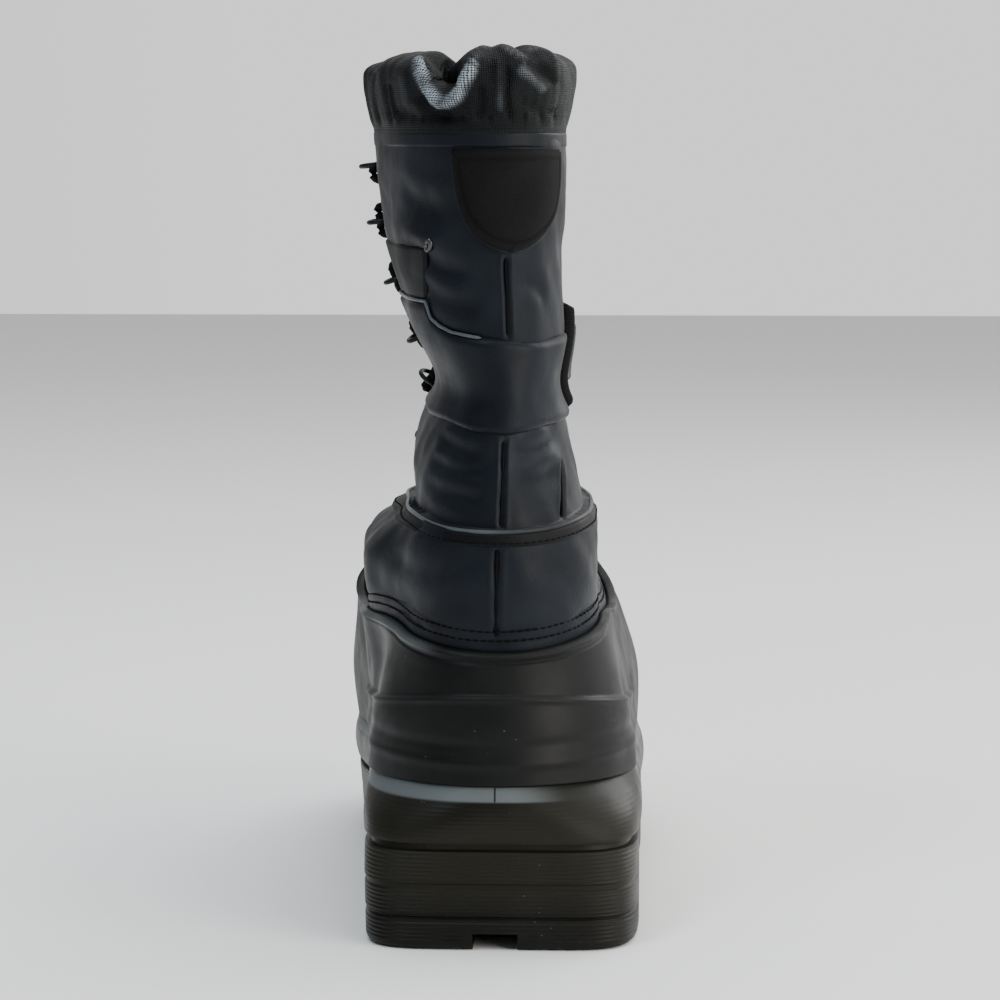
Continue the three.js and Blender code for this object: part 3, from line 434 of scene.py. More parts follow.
def counter_step(place, angle):
    """How far the upper steps in above the counter's edge."""
    return COUNTER_STEP * smooth((place - place_at(angle, counter_edge(angle))) / STEP_SPAN)


def angle_away(place, angle, distance):
    """The angle that lies a distance along the skin from another angle."""
    at = np.asarray(angle, float) + np.zeros(np.shape(place))
    for _ in range(12):
        span = np.linalg.norm(skin(place, at + 0.01) - skin(place, at - 0.01), axis=-1) / 0.02
        at = at + distance / 12 / span
    return at


def throat_half(place):
    k = clamp01((place - SHELL_PLACE) / (SEAM_PLACE - SHELL_PLACE))
    return mix(THROAT_FOOT_WIDTH, THROAT_TOP_WIDTH, np.sqrt(k)) / 2


# The photograph's camera: distance behind the heel's back, height, turn to the outer side, and the scale
# and place of its picture in pixels
CAMERA_DISTANCE = 1150.0
CAMERA_HEIGHT = 290.0
CAMERA_TURN = math.radians(2.5)
FOCAL = 3278.0
HEEL_COLUMN = 641.5
HORIZON_ROW = 130.0
BOOT_COLUMN = 647.0
HEEL_BACK = -48.6


def project(points):
    x, y, z = points[..., 0], points[..., 1] - HEEL_BACK, points[..., 2]
    right = x * math.cos(CAMERA_TURN) + y * math.sin(CAMERA_TURN)
    deep = CAMERA_DISTANCE + y * math.cos(CAMERA_TURN) - x * math.sin(CAMERA_TURN)
    return np.stack([HEEL_COLUMN + right * FOCAL / deep,
                     HORIZON_ROW + (CAMERA_HEIGHT - z) * FOCAL / deep], -1)


GRID_PLACE, GRID_ANGLE = np.meshgrid(np.linspace(0, SEAM_PLACE, 260), np.radians(np.linspace(-100, 100, 260)),
                                     indexing="ij")
GRID_PIXELS = project(skin(GRID_PLACE, GRID_ANGLE))


def on_skin(pixels):
    """Places and angles of the skin seen at these pixels of the photograph."""
    out = []
    for pixel in np.asarray(pixels, float):
        near = np.unravel_index(np.argmin(((GRID_PIXELS - pixel) ** 2).sum(-1)), GRID_PLACE.shape)
        at = np.array([GRID_PLACE[near], GRID_ANGLE[near]])
        for _ in range(4):
            here = project(skin(*at))
            slope = np.stack([(project(skin(at[0] + 1e-3, at[1])) - here) / 1e-3,
                              (project(skin(at[0], at[1] + 1e-3)) - here) / 1e-3], -1)
            if abs(np.linalg.det(slope)) < 1e-3:
                break
            at = at + np.clip(np.linalg.solve(slope, pixel - here), -0.05, 0.05)
        out.append(at)
    return np.array(out)


def length_along(line):
    return np.concatenate([[0], np.cumsum(np.linalg.norm(np.diff(line, axis=0), axis=1))])


def through(points, count):
    """Points at even steps along a smooth line through the ones given."""
    points = np.asarray(points, float)
    if len(points) == 2:
        return points[0] + (points[1] - points[0]) * np.linspace(0, 1, count)[:, None]
    padded = np.vstack([2 * points[0] - points[1], points, 2 * points[-1] - points[-2]])
    t = np.linspace(0, len(points) - 1, count * 4)
    i = np.minimum(t.astype(int), len(points) - 2)
    k = (t - i)[:, None]
    a, b, c, d = (padded[i + n] for n in range(4))
    line = 0.5 * (2 * b + (c - a) * k + (2 * a - 5 * b + 4 * c - d) * k ** 2
                  + (3 * b - a - 3 * c + d) * k ** 3)
    far = length_along(line)
    even = np.linspace(0, far[-1], count)
    return np.stack([np.interp(even, far, line[:, n]) for n in range(points.shape[1])], -1)


def rough(points, scale, seed):
    """A soft field of hills between about -1 and 1, scale millimetres across."""
    random = np.random.default_rng(seed)
    total = np.zeros(points.shape[:-1])
    for _ in range(7):
        way = unit(random.normal(size=3)) * TURN / (scale * random.uniform(0.7, 1.6))
        total += np.sin(points @ way + random.uniform(0, TURN))
    return total / 3.2


# Surfaces


class Wire:
    """An output socket of a node tree that can be used in sums."""

    def __init__(self, tree, socket):
        self.tree = tree
        self.socket = socket

    def use(self, kind, inputs=None, out=0, **settings):
        node = self.tree.nodes.new(kind)
        for name, value in settings.items():
            setattr(node, name, value)
        for key, value in (inputs or {}).items():
            if isinstance(value, Wire):
                self.tree.links.new(value.socket, node.inputs[key])
            else:
                node.inputs[key].default_value = value
        return Wire(self.tree, node.outputs[out])

    def math(self, name, *others):
        return self.use("ShaderNodeMath", dict(enumerate((self, *others))), operation=name)

    def __add__(self, other):
        return self.math("ADD", other)

    __radd__ = __add__

    def __mul__(self, other):
        return self.math("MULTIPLY", other)

    __rmul__ = __mul__

    def __sub__(self, other):
        return self.math("SUBTRACT", other)

    def __rsub__(self, other):
        return self.use("ShaderNodeMath", {0: other, 1: self}, operation="SUBTRACT")

    def __truediv__(self, other):
        return self.math("DIVIDE", other)

    def __pow__(self, other):
        return self.math("POWER", other)

    def ramp(self, low, high, to_low=0.0, to_high=1.0):
        """Follows this value smoothly from one range to another."""
        return self.use("ShaderNodeMapRange", {0: self, 1: low, 2: high, 3: to_low, 4: to_high},
                        interpolation_type="SMOOTHSTEP")

    def noise(self, scale, detail=2.0, roughness=0.5):
        return self.use("ShaderNodeTexNoise", {"Vector": self, "Scale": scale, "Detail": detail,
                                               "Roughness": roughness})

    def cells(self, scale):
        return self.use("ShaderNodeTexVoronoi", {"Vector": self, "Scale": scale})

    def blend(self, first, second):
        """A colour that goes from the first to the second with this value."""
        first, second = (c if isinstance(c, Wire) else (*c, 1.0) for c in (first, second))
        return self.use("ShaderNodeMix", {0: self, 6: first, 7: second}, 2,
                        data_type="RGBA", clamp_factor=True)


def shade(colour, factor):
    return tuple(min(1.0, c * factor) for c in colour)


class Finish:
    """A material with its own tree, and the coordinates that its patterns follow: place in metres, along
    and up in the piece's flattened millimetres."""

    def __init__(self, name):
        self.material = bpy.data.materials.new(name)
        self.material.use_nodes = True
        tree = self.material.node_tree
        self.surface = tree.nodes["Principled BSDF"]
        self.tree = tree
        start = Wire(tree, None)
        self.place = start.use("ShaderNodeTexCoord", out=3)
        flat = start.use("ShaderNodeTexCoord", out=2)
        self.along, self.up = (start.use("ShaderNodeSeparateXYZ", {0: flat}, n) for n in (0, 1))
        self.x, self.z = (start.use("ShaderNodeSeparateXYZ", {0: self.place}, n) for n in (0, 2))
        self.fold, self.mark = (start.use("ShaderNodeAttribute", out=2, attribute_name=key)
                                for key in ("fold", "mark"))

    def set(self, key, value):
        if isinstance(value, Wire):
            self.tree.links.new(value.socket, self.surface.inputs[key])
        else:
            self.surface.inputs[key].default_value = value

    def relief(self, height, distance, strength=1.0, under=None):
        inputs = {"Height": height, "Distance": distance * MM, "Strength": strength}
        if under is not None:
            inputs["Normal"] = under
        return self.place.use("ShaderNodeBump", inputs)


def coated(name, colour, gloss, grain=0.12, crease_painted_shade=0.35, painted_highlight_fade=None):
    """Matte coated fabric with a fine leather grain, soft cloudiness and painted shade in its creases."""
    f = Finish(name)
    base = f.place.noise(28, 3).ramp(0.35, 0.68).blend(shade(colour, 0.7), shade(colour, 1.35))
    # Painted shade: darker where the fold attribute is below zero, in creases and grooves.
    base = ((0 - f.fold).ramp(0.0, 1.0) * crease_painted_shade).blend(base, shade(colour, 0.35))
    dust = f.place.noise(900, 2).ramp(0.7, 0.78) * f.place.noise(35, 2).ramp(0.5, 0.7) * 0.22
    base = dust.blend(base, (0.12, 0.12, 0.11))
    # Painted highlight fade: over this range of x the pale colour gives way to a dark one towards the outer
    # side.
    if painted_highlight_fade:
        base = (f.x.ramp(*painted_highlight_fade) * 0.82).blend(base, (0.006, 0.0065, 0.007))
    f.set("Base Color", base)
    f.set("Roughness", f.place.noise(60, 3).ramp(0.3, 0.7, gloss - 0.06, gloss + 0.08))
    f.set("Specular IOR Level", 0.13)
    pores = f.place.cells(1500).ramp(0.0, 0.6) * 0.5 + f.place.noise(700, 4) * 0.6
    waves = f.place.noise(90, 3)
    f.set("Normal", f.relief(pores, grain, 0.5, f.relief(waves, 0.55, 0.4)))
    return f.material


def rubber(name, colour, gloss, warm=None, ribs=0.0):
    """Satin moulded rubber with scuffs and grit, a painted highlight where its fold attribute is set, warm
    low down.

    ribs: millimetres from rib to rib where its mark attribute is set, on the piece with the parting line."""
    f = Finish(name)
    base = f.place.noise(22, 4).ramp(0.35, 0.7).blend(shade(colour, 0.75), shade(colour, 1.3))
    if warm:
        base = ((0.062 - f.z).ramp(0.0, 0.03) * 0.75).blend(base, warm)
        base = ((0.024 - f.z).ramp(0.0, 0.014) * 0.75).blend(base, (0.0022, 0.0021, 0.0015))
    haze = f.place.noise(14, 5, 0.6).ramp(0.5, 0.8) * 0.14
    base = haze.blend(base, (0.03, 0.03, 0.027))
    # Painted highlight: pale grey-blue where the fold attribute is set.
    base = f.fold.blend(base, (0.095, 0.108, 0.112))
    if ribs:
        # A narrow parting line at the middle keeps the rubber's own colour through the painted highlight.
        parting = f.x.math("ABSOLUTE").ramp(0.00012, 0.0005, 1.0, 0.0)
        base = (parting * f.fold).blend(base, colour)
    specks = f.place.cells(420).ramp(0.0, 0.13, 1.0, 0.0) * f.place.noise(55, 2).ramp(0.56, 0.68) * 0.5
    base = specks.blend(base, (0.32, 0.31, 0.28))
    f.set("Base Color", base)
    f.set("Roughness", f.place.noise(45, 4).ramp(0.3, 0.75, gloss - 0.05, gloss + 0.14))
    f.set("Specular IOR Level", 0.15)
    skin_relief = f.place.noise(260, 3) * 0.5 + f.place.noise(1400, 2) * 0.35
    normal = f.relief(skin_relief, 0.16, 0.35)
    if ribs:
        lines = (f.z * (TURN / (ribs * MM))).math("SINE")
        normal = f.relief(lines * f.mark, 0.22, 0.8, normal)
    f.set("Normal", normal)
    return f.material


def woven(name, dark, light, pitch, gloss, coat_and_painted_highlight=0.0, depth=0.4, wobble=0.25):
    """A plain weave with painted shade in the hollows between threads and in troughs, and a painted highlight
    on raised folds when shine is set. pitch: millimetres from thread to thread of the flattened cloth.
    """
    f = Finish(name)
    sway = f.place.noise(160, 2) - 0.5
    x = f.along / pitch + sway * wobble
    y = f.up / pitch - sway * wobble

    def over(across, along):
        crown = ((across.math("FRACT") * 2 - 1) ** 2).math("SUBTRACT", 1.0).math("ABSOLUTE")
        return crown * ((along + across.math("FLOOR")) * math.pi).math("COSINE").ramp(-1, 1, 0.25, 1.0)

    height = over(x, y + 0.5).math("MAXIMUM", over(y, x + 1.5))
    # Painted shade at thread scale: the hollows between the threads take the dark colour, the crowns the
    # light one.
    tone = height.ramp(0.25, 0.95).blend(dark, light)
    tone = (f.place.noise(34, 3).ramp(0.35, 0.65) * 0.45).blend(tone, dark)
    # Painted shade where the fold attribute is below zero.
    tone = ((0 - f.fold).ramp(0.0, 1.0) * 0.6).blend(tone, shade(dark, 0.3))
    if coat_and_painted_highlight:
        # Painted highlight: pale grey-blue on thread crowns where the fold attribute rises above 0.4.
        painted_highlight = f.fold.ramp(0.4, 3.2) * height.ramp(0.3, 0.95)
        painted_highlight = painted_highlight * f.place.noise(120, 2).ramp(0.3, 0.6, 0.35, 1.0)
        tone = painted_highlight.blend(tone, (0.34, 0.39, 0.43))
        f.set("Coat Weight", height.ramp(0.6, 1.0, 0.0, coat_and_painted_highlight))
        f.set("Coat Roughness", 0.35)
    f.set("Base Color", tone)
    f.set("Roughness", gloss)
    f.set("Specular IOR Level", 0.12)
    f.set("Normal", f.relief(height, depth, 0.8))
    return f.material


def plain(name, colour, gloss, metal=0.0, grain=0.0, scale=900):
    f = Finish(name)
    f.set("Base Color", f.place.noise(70, 3).ramp(0.3, 0.7).blend(shade(colour, 0.75), colour))
    f.set("Roughness", f.place.noise(200, 3).ramp(0.3, 0.7, gloss - 0.05, gloss + 0.08))
    f.set("Metallic", metal)
    f.set("Specular IOR Level", 0.5 if metal else 0.08)
    if grain:
        f.set("Normal", f.relief(f.place.noise(scale, 3), grain, 0.6))
    return f.material


FINISHES = {
    "upper": coated("upper_coated", (0.0042, 0.0062, 0.0096), 0.47),
    "strap": coated("strap_coated", (0.0042, 0.006, 0.009), 0.48, crease_painted_shade=0.2),
    "tape": coated("tape_coated", (0.002, 0.0023, 0.003), 0.55),
    # Pale colour: a painted highlight along the piping.
    "piping": coated("piping_painted_highlight", (0.07, 0.08, 0.087), 0.36, 0.05, painted_highlight_fade=(-0.012, 0.014)),
    "shell": rubber("shell_rubber", (0.0042, 0.0048, 0.0048), 0.47, (0.0075, 0.0072, 0.004)),
    "sole": rubber("sole_rubber", (0.0072, 0.007, 0.005), 0.42, (0.0105, 0.0095, 0.005), ribs=1.5),
    # The collar's weave paints a highlight on its raised folds and shade in its troughs.
    "collar": woven("collar_weave", (0.0014, 0.0021, 0.0027), (0.0048, 0.0064, 0.0072), 0.78, 0.52, 0.05),
    "pad": woven("pad_mesh", (0.002, 0.002, 0.0024), (0.0085, 0.0084, 0.0085), 0.6, 0.8, 0.0, 0.25, 0.1),
    "webbing": woven("webbing", (0.002, 0.002, 0.0023), (0.007, 0.0072, 0.008), 0.9, 0.8, 0.0, 0.3, 0.1),
    "cord": woven("lace_braid", (0.0018, 0.0018, 0.002), (0.007, 0.0072, 0.008), 0.8, 0.75, 0.0, 0.25, 0.05),
    "lining": plain("lining_brushed", (0.006, 0.0063, 0.0072), 0.9, 0.0, 0.5, 500),
    "thread": plain("thread", (0.0024, 0.0025, 0.003), 0.7, 0.0, 0.1, 2500),
    "ring": plain("ring_nickel", (0.022, 0.023, 0.025), 0.42, 1.0, 0.05),
    "metal": plain("dark_nickel", (0.085, 0.088, 0.092), 0.36, 1.0, 0.05),
}


# Meshes


def link(obj):
    bpy.context.scene.collection.objects.link(obj)
    return obj


def note(mesh, kind="FLOAT", **values):
    """Keeps numbers, or directions, on the mesh's points under their names."""
    for key, numbers in values.items():
        if numbers is not None:
            data = mesh.attributes.new(key, kind, "POINT").data
            held = "value" if kind == "FLOAT" else "vector"
            data.foreach_set(held, np.asarray(numbers, np.float32).ravel())


def make(name, points, faces, finish, uv=None, fold=None, weld=False):
    """A smooth mesh object in metres whose faces look outwards. uv: millimetres for every point."""
    points = np.asarray(points, float).reshape(-1, 3)
    faces = np.asarray(faces)
    tri = points[faces[:, [0, 1, 2]]], points[faces[:, [0, 2, 3]]]
    if sum(np.einsum("ij,ij->i", t[:, 0], np.cross(t[:, 1], t[:, 2])).sum() for t in tri) < 0:
        faces = faces[:, ::-1]
    mesh = bpy.data.meshes.new(name)
    mesh.from_pydata((points * MM).tolist(), [], faces.tolist())
    if uv is not None:
        layer = mesh.uv_layers.new(name="flat")
        layer.data.foreach_set("uv", np.asarray(uv, np.float32).reshape(-1, 2)[faces.ravel()].ravel())
    note(mesh, fold=fold)
    obj = link(bpy.data.objects.new(name, mesh))
    mesh.materials.append(FINISHES[finish])
    if weld:
        obj.modifiers.new("weld", "WELD").merge_threshold = 1e-6
        obj = settled(obj)
    obj.data.shade_smooth()
    return obj


def settled(obj):
    """Makes what the modifiers show the object's own mesh."""
    graph = bpy.context.evaluated_depsgraph_get()
    mesh = bpy.data.meshes.new_from_object(obj.evaluated_get(graph))
    obj.modifiers.clear()
    obj.data = mesh
    return obj


def dress(obj, slot, *nodes, padded=None):
    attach(obj, "root")
    if nodes:
        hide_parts(*nodes)
    return obj


def grid_faces(rows, columns, flip=False, start=0):
    i, j = np.meshgrid(np.arange(rows - 1), np.arange(columns - 1), indexing="ij")
    a = (i * columns + j).ravel() + start
    quads = np.stack([a, a + 1, a + columns + 1, a + columns], -1)
    return quads[:, ::-1] if flip else quads


def slab(outer, inner, joined=False):
    """Points and faces of a closed slab between two grids. joined: its first and last columns meet."""
    rows, columns = outer.shape[:2]
    n = rows * columns
    faces = [grid_faces(rows, columns), grid_faces(rows, columns, True, n)]
    j = np.arange(columns - 1)
    top = (rows - 1) * columns + j
    faces.append(np.stack([j + 1, j, j + n, j + 1 + n], -1))
    faces.append(np.stack([top, top + 1, top + 1 + n, top + n], -1))
    if not joined:
        i = np.arange(rows - 1) * columns
        right = i + columns - 1
        faces.append(np.stack([i, i + columns, i + columns + n, i + n], -1))
        faces.append(np.stack([right + columns, right, right + n, right + columns + n], -1))
    return np.concatenate([outer.reshape(-1, 3), inner.reshape(-1, 3)]), np.concatenate(faces)


def flat_lengths(grid):
    """Millimetres across and up a grid of points, measured from its middle column and its first row."""
    across = np.linalg.norm(np.diff(grid, axis=1), axis=-1)
    across = np.concatenate([np.zeros((len(grid), 1)), np.cumsum(across, 1)], 1)
    across -= across[:, [grid.shape[1] // 2]]
    up = np.linalg.norm(np.diff(grid, axis=0), axis=-1)
    up = np.concatenate([np.zeros((1, grid.shape[1])), np.cumsum(up, 0)], 0)
    return across, up


def ring_faces(rings, sides):
    """Faces between rings of points that close on themselves."""
    i, j = np.meshgrid(np.arange(rings - 1), np.arange(sides), indexing="ij")
    a, b = i * sides + j, i * sides + (j + 1) % sides
    return np.stack([a, b, b + sides, a + sides], -1).reshape(-1, 4)


def pillow(distance, radius):
    return np.sqrt(1 - (1 - clamp01(distance / radius)) ** 2)


class Spots:
    """Places and angles on the skin, with the points there and their distances from the grid's edges."""

    def __init__(self, place, angle):
        self.place, self.angle = np.broadcast_arrays(place, angle)
        self.base = skin(self.place, self.angle)
        self.normal = skin_normal(self.place, self.angle)
        self.across, self.up = flat_lengths(self.base)
        self.top = self.up[[-1]] - self.up
        side = np.minimum(self.across - self.across[:, [0]], self.across[:, [-1]] - self.across)
        self.edge = np.minimum.reduce([side, self.up, self.top])

    def moved(self, out):
        return self.base + self.normal * (out + np.zeros(self.place.shape))[..., None]


def even_spots(places, left, right, columns):
    """Spots in even steps of angle from left to right, which may change from row to row."""
    left, right = (np.broadcast_to(np.asarray(v, float), (len(places),))[:, None] for v in (left, right))
    angle = left + (right - left) * np.linspace(0, 1, columns + 1)
    return Spots(places if places.ndim == 2 else places[:, None], angle)


def strip_spots(places, angle, left, right, columns):
    """Spots between two distances in millimetres along the skin from one angle."""
    return even_spots(places, angle_away(places, angle, left), angle_away(places, angle, right), columns)


def patch(name, spots, outer, inner, finish, joined=False, fold=None):
    """A slab on the skin between two distances off it."""
    points, faces = slab(spots.moved(outer), spots.moved(inner), joined)
    uv = np.tile(np.stack([spots.across, spots.up], -1).reshape(-1, 2), (2, 1))
    if fold is not None:
        fold = np.concatenate([fold.ravel(), np.zeros(fold.size)])
    return make(name, points, faces, finish, uv, fold, weld=joined)


def tube(points, radius, sides=8, up=(0.0, 0.0, 1.0)):
    """Points, faces and flat lengths of a closed tube along a line."""
    points = np.asarray(points, float)
    count = len(points)
    way = unit(np.gradient(points, axis=0))
    side = unit(np.cross(way, up) + 1e-9)
    above = unit(np.cross(side, way))
    radius = np.broadcast_to(np.asarray(radius, float), (count,))
    turn = np.linspace(0, TURN, sides, endpoint=False)
    ring = side[:, None] * np.cos(turn)[:, None] + above[:, None] * np.sin(turn)[:, None]
    grid = points[:, None] + ring * radius[:, None, None]
    faces = [ring_faces(count, sides)]
    for start, hub in ((0, count * sides), ((count - 1) * sides, count * sides + 1)):
        j = np.arange(0, sides, 2)
        corners = [start + (j + n) % sides for n in range(3)]
        fan = np.stack([np.full(len(j), hub), *corners], -1)
        faces.append(fan[:, ::-1] if start == 0 else fan)
    far = length_along(points)
    uv = np.stack(np.broadcast_arrays((turn * radius.mean())[None, :], far[:, None]), -1).reshape(-1, 2)
    return (np.concatenate([grid.reshape(-1, 3), points[[0, -1]]]), np.concatenate(faces),
            np.concatenate([uv, [[0, 0], [0, far[-1]]]]))


def tubes(name, lines, finish):
    """One object from several tubes, each given as the arguments of tube."""
    points, faces, uvs, start = [], [], [], 0
    for line in lines:
        p, f, uv = tube(**line)
        points.append(p)
        faces.append(f + start)
        uvs.append(uv)
        start += len(p)
    return make(name, np.concatenate(points), np.concatenate(faces), finish, np.concatenate(uvs))


# What repeats: one tree puts an object on every point of a mesh, turned to the point's own two directions


def repeat_tree():
    tree = bpy.data.node_groups.new("repeat", "GeometryNodeTree")
    kinds = dict(Points="Geometry", Piece="Object", Size="Float", Sway="Float", Seed="Int",
                 Material="Material")
    for label, kind in kinds.items():
        tree.interface.new_socket(label, in_out="INPUT", socket_type="NodeSocket" + kind)
    tree.interface.new_socket("Geometry", in_out="OUTPUT", socket_type="NodeSocketGeometry")
    inputs = tree.nodes.new("NodeGroupInput").outputs
    points, model, size, sway, seed, material = (Wire(tree, inputs[label]) for label in kinds)
    use = Wire(tree, None).use
    way, up = (use("GeometryNodeInputNamedAttribute", {"Name": label}, data_type="FLOAT_VECTOR")
               for label in ("way", "up"))
    along = use("FunctionNodeAlignRotationToVector", {"Vector": way}, axis="X")
    facing = use("FunctionNodeAlignRotationToVector", {"Rotation": along, "Vector": up},
                 axis="Z", pivot_axis="X")
    chance = use("FunctionNodeRandomValue", {"Seed": seed, "Min": (-1.0,) * 3, "Max": (1.0,) * 3},
                 data_type="FLOAT_VECTOR")
    lean = use("ShaderNodeVectorMath", {0: chance, "Scale": sway}, operation="SCALE")
    lean = use("FunctionNodeEulerToRotation", {0: lean})
    turned = use("FunctionNodeRotateRotation", {0: facing, 1: lean}, rotation_space="LOCAL")
    piece = use("GeometryNodeObjectInfo", {"Object": model}, "Geometry")
    placed = use("GeometryNodeInstanceOnPoints",
                 {"Points": points, "Instance": piece, "Rotation": turned, "Scale": size})
    real = use("GeometryNodeRealizeInstances", {0: placed})
    painted = use("GeometryNodeSetMaterial", {"Geometry": real, "Material": material})
    tree.links.new(painted.socket, tree.nodes.new("NodeGroupOutput").inputs[0])
    return tree


REPEAT = repeat_tree()


def repeated(name, model, points, way, up, finish, sway=0.0, seed=1):
    mesh = bpy.data.meshes.new(name)
    mesh.from_pydata((np.asarray(points) * MM).tolist(), [], [])
    note(mesh, "FLOAT_VECTOR", way=way, up=up)
    obj = link(bpy.data.objects.new(name, mesh))
    modifier = obj.modifiers.new("repeat", "NODES")
    modifier.node_group = REPEAT
    sockets = {item.name: item.identifier for item in REPEAT.interface.items_tree if item.in_out == "INPUT"}
    values = {"Piece": model, "Size": 1.0, "Sway": sway, "Seed": seed, "Material": FINISHES[finish]}
    for label, value in values.items():
        modifier[sockets[label]] = value
    obj = settled(obj)
    obj.data.shade_smooth()
    return obj


def model_of(points, faces, finish):
    """A small object that is only used by the repeat tree."""
    obj = make("model", points, faces, finish)
    obj.hide_render = True
    obj.hide_viewport = True
    return obj


def stitch_model():
    """One stitch, 2.4 mm long, that dips at both ends."""
    t = np.linspace(-1, 1, 7)
    line = np.stack([t * 1.15, 0 * t, 0.28 * (1 - t ** 2) - 0.12], -1)
    points, faces, _ = tube(line, 0.33 * (1 - 0.35 * t ** 2), 6, up=(0, 1.0, 0))
    return model_of(points, faces, "thread")


STITCH = stitch_model()
STITCH_PITCH = 2.9
STITCH_SWAY = 0.06


def sew(name, place, angle, out, seed=3):
    """A row of stitches along places and angles of the skin, out millimetres off it."""
    line = offset(place, angle, out)
    far = length_along(line)
    count = int(far[-1] / STITCH_PITCH)
    even = (np.arange(count) + 0.5) * far[-1] / count
    spread = lambda values: np.interp(even, far, values)
    points = np.stack([spread(line[:, n]) for n in range(3)], -1)
    way = np.stack([spread(np.gradient(line[:, n], far)) for n in range(3)], -1)
    up = skin_normal(spread(place), spread(angle))
    dress(repeated(name, STITCH, points, unit(way), up, "thread", STITCH_SWAY, seed), "webbing")


# Seams of the upper along pixels of the photograph: each lies in a narrow groove
SEAMS = [
    [(656, 258), (657, 300), (657, 335)],
    [(653, 436), (651, 480), (648, 526)],
    [(644, 546), (643, 600), (643, 636)],
    [(717, 455), (718, 480), (718, 512)],
]

# Creases pressed into the upper. Each runs along pixels of the photograph, then its width and its
# depth in millimetres; a negative depth is a ridge.
CREASES = [
    # soft folds of the ankle
    ([(575, 428), (600, 446), (632, 452)], 2.6, 0.9),
    ([(566, 452), (600, 466), (640, 470)], 3.0, 0.8),
    ([(660, 452), (690, 446), (712, 436)], 2.8, 0.9),
    ([(664, 480), (692, 476), (716, 462)], 3.2, 0.8),
    ([(562, 480), (596, 492), (636, 498)], 3.0, 0.7),
    # the shaft above the strap
    ([(548, 250), (580, 268), (620, 274)], 3.6, 0.9),
    ([(556, 280), (590, 300), (630, 306)], 3.2, 0.9),
    ([(670, 276), (690, 284), (704, 296)], 3.0, 0.8),
    ([(540, 190), (560, 205), (592, 212)], 4.0, 0.8),
    ([(536, 222), (560, 236), (598, 240)], 3.4, -0.8),
    # the counter
    ([(530, 548), (560, 566), (600, 574)], 4.0, 0.6),
    ([(690, 560), (715, 570), (738, 566)], 4.0, 0.6),
    ([(540, 590), (580, 606), (620, 612)], 4.5, 0.5),
]


def seam_lines():
    for number, pixels in enumerate(SEAMS):
        at = through(on_skin(pixels), 60)
        out = -counter_step(at[:, 0], at[:, 1]) - 0.6
        cord_on_skin(f"shaft_seam_{number + 1}", at[:, 0], at[:, 1], out, 0.6, "thread", "coated_fabric")


def crease_field(points):
    """Depths of all creases at points of the upper's skin: below zero in a trough."""
    total = np.zeros(points.shape[:-1])
    flat = points.reshape(-1, 3)
    for pixels, width, depth in [*CREASES, *((line, 1.2, 0.8) for line in SEAMS)]:
        at = through(on_skin(pixels), 24)
        line = skin(at[:, 0], at[:, 1])
        reach = np.ptp(line, axis=0).max() + 5 * width
        near = np.where(((flat - line.mean(0)) ** 2).sum(1) < reach ** 2)[0]
        apart = np.linalg.norm(flat[near][:, None] - line[None], axis=-1)
        best = apart.argmin(1)
        away = apart.min(1)
        share = best / (len(line) - 1)
        end = 0.04 if width < 1.5 else 0.3
        fade = smooth((share + 0.01) / end) * smooth((1.01 - share) / end)
        press = -depth * fade * (hill(away, 0, width)
                                 - 0.35 * hill(away, 2 * width, 0.9 * width))
        total.ravel()[near] += press
    return total


# Rubber shell


def shell_relief(spots):
    away = np.abs(spots.angle) / TURN
    z = spots.base[..., 2]
    arch = PANEL_TOP - PANEL_FALL * smooth(away / GROOVE_AT)
    panel_end = 1 - smooth((away - PANEL_END) / PANEL_FADE)
    panel = PANEL_PROUD * smooth((arch - z) / 1.6) + 0.55 * hill(z, arch - 1.9, 0.9)
    low = 0.65 * hill(z, 66.5, 1.5) - 0.45 * hill(z, 72.8, 1.9)
    groove = hill(away, GROOVE_AT, GROOVE_SPREAD)
    return (panel + low) * panel_end - FLEX_GROOVE * groove * smooth(spots.up / 6)


def shell_piece():
    angle = np.linspace(-FRONT, FRONT, 401)
    edge = place_at(angle, shell_edge(angle))
    rows = np.concatenate([np.linspace(0, 0.93, 88), np.linspace(0.935, 1, 14)])
    spots = Spots(rows[:, None] * edge, angle)
    lip = 0.7 * hill(spots.top, 1.7, 1.2) - 0.45 * hill(spots.top, 4.3, 0.9)
    wave = 0.3 * rough(spots.base, 42, 5) * smooth(spots.top / 10)
    wall = SHELL_WALL * (0.35 + 0.65 * pillow(spots.top, 2.2))
    out = GAP + wall + (shell_relief(spots) * smooth(spots.top / 12) + lip + wave)
    # Painted highlight on the top lip along the inner side, handed to the finish through the fold attribute.
    inner_side = smooth((spots.angle - 0.35) / 0.25) * smooth((1.9 - spots.angle) / 0.3)
    lip_painted_highlight = hill(spots.top, 1.6, 1.5) * inner_side * 0.7
    piece = patch("rubber_shell", spots, out, GAP, "shell", joined=True, fold=lip_painted_highlight)
    dress(piece, "shell_rubber", "shell")


# Upper

# Heights above the shell's edge of the two rows of stitches beside it
SHELL_STITCH_ROWS = (3.6, 7.0)


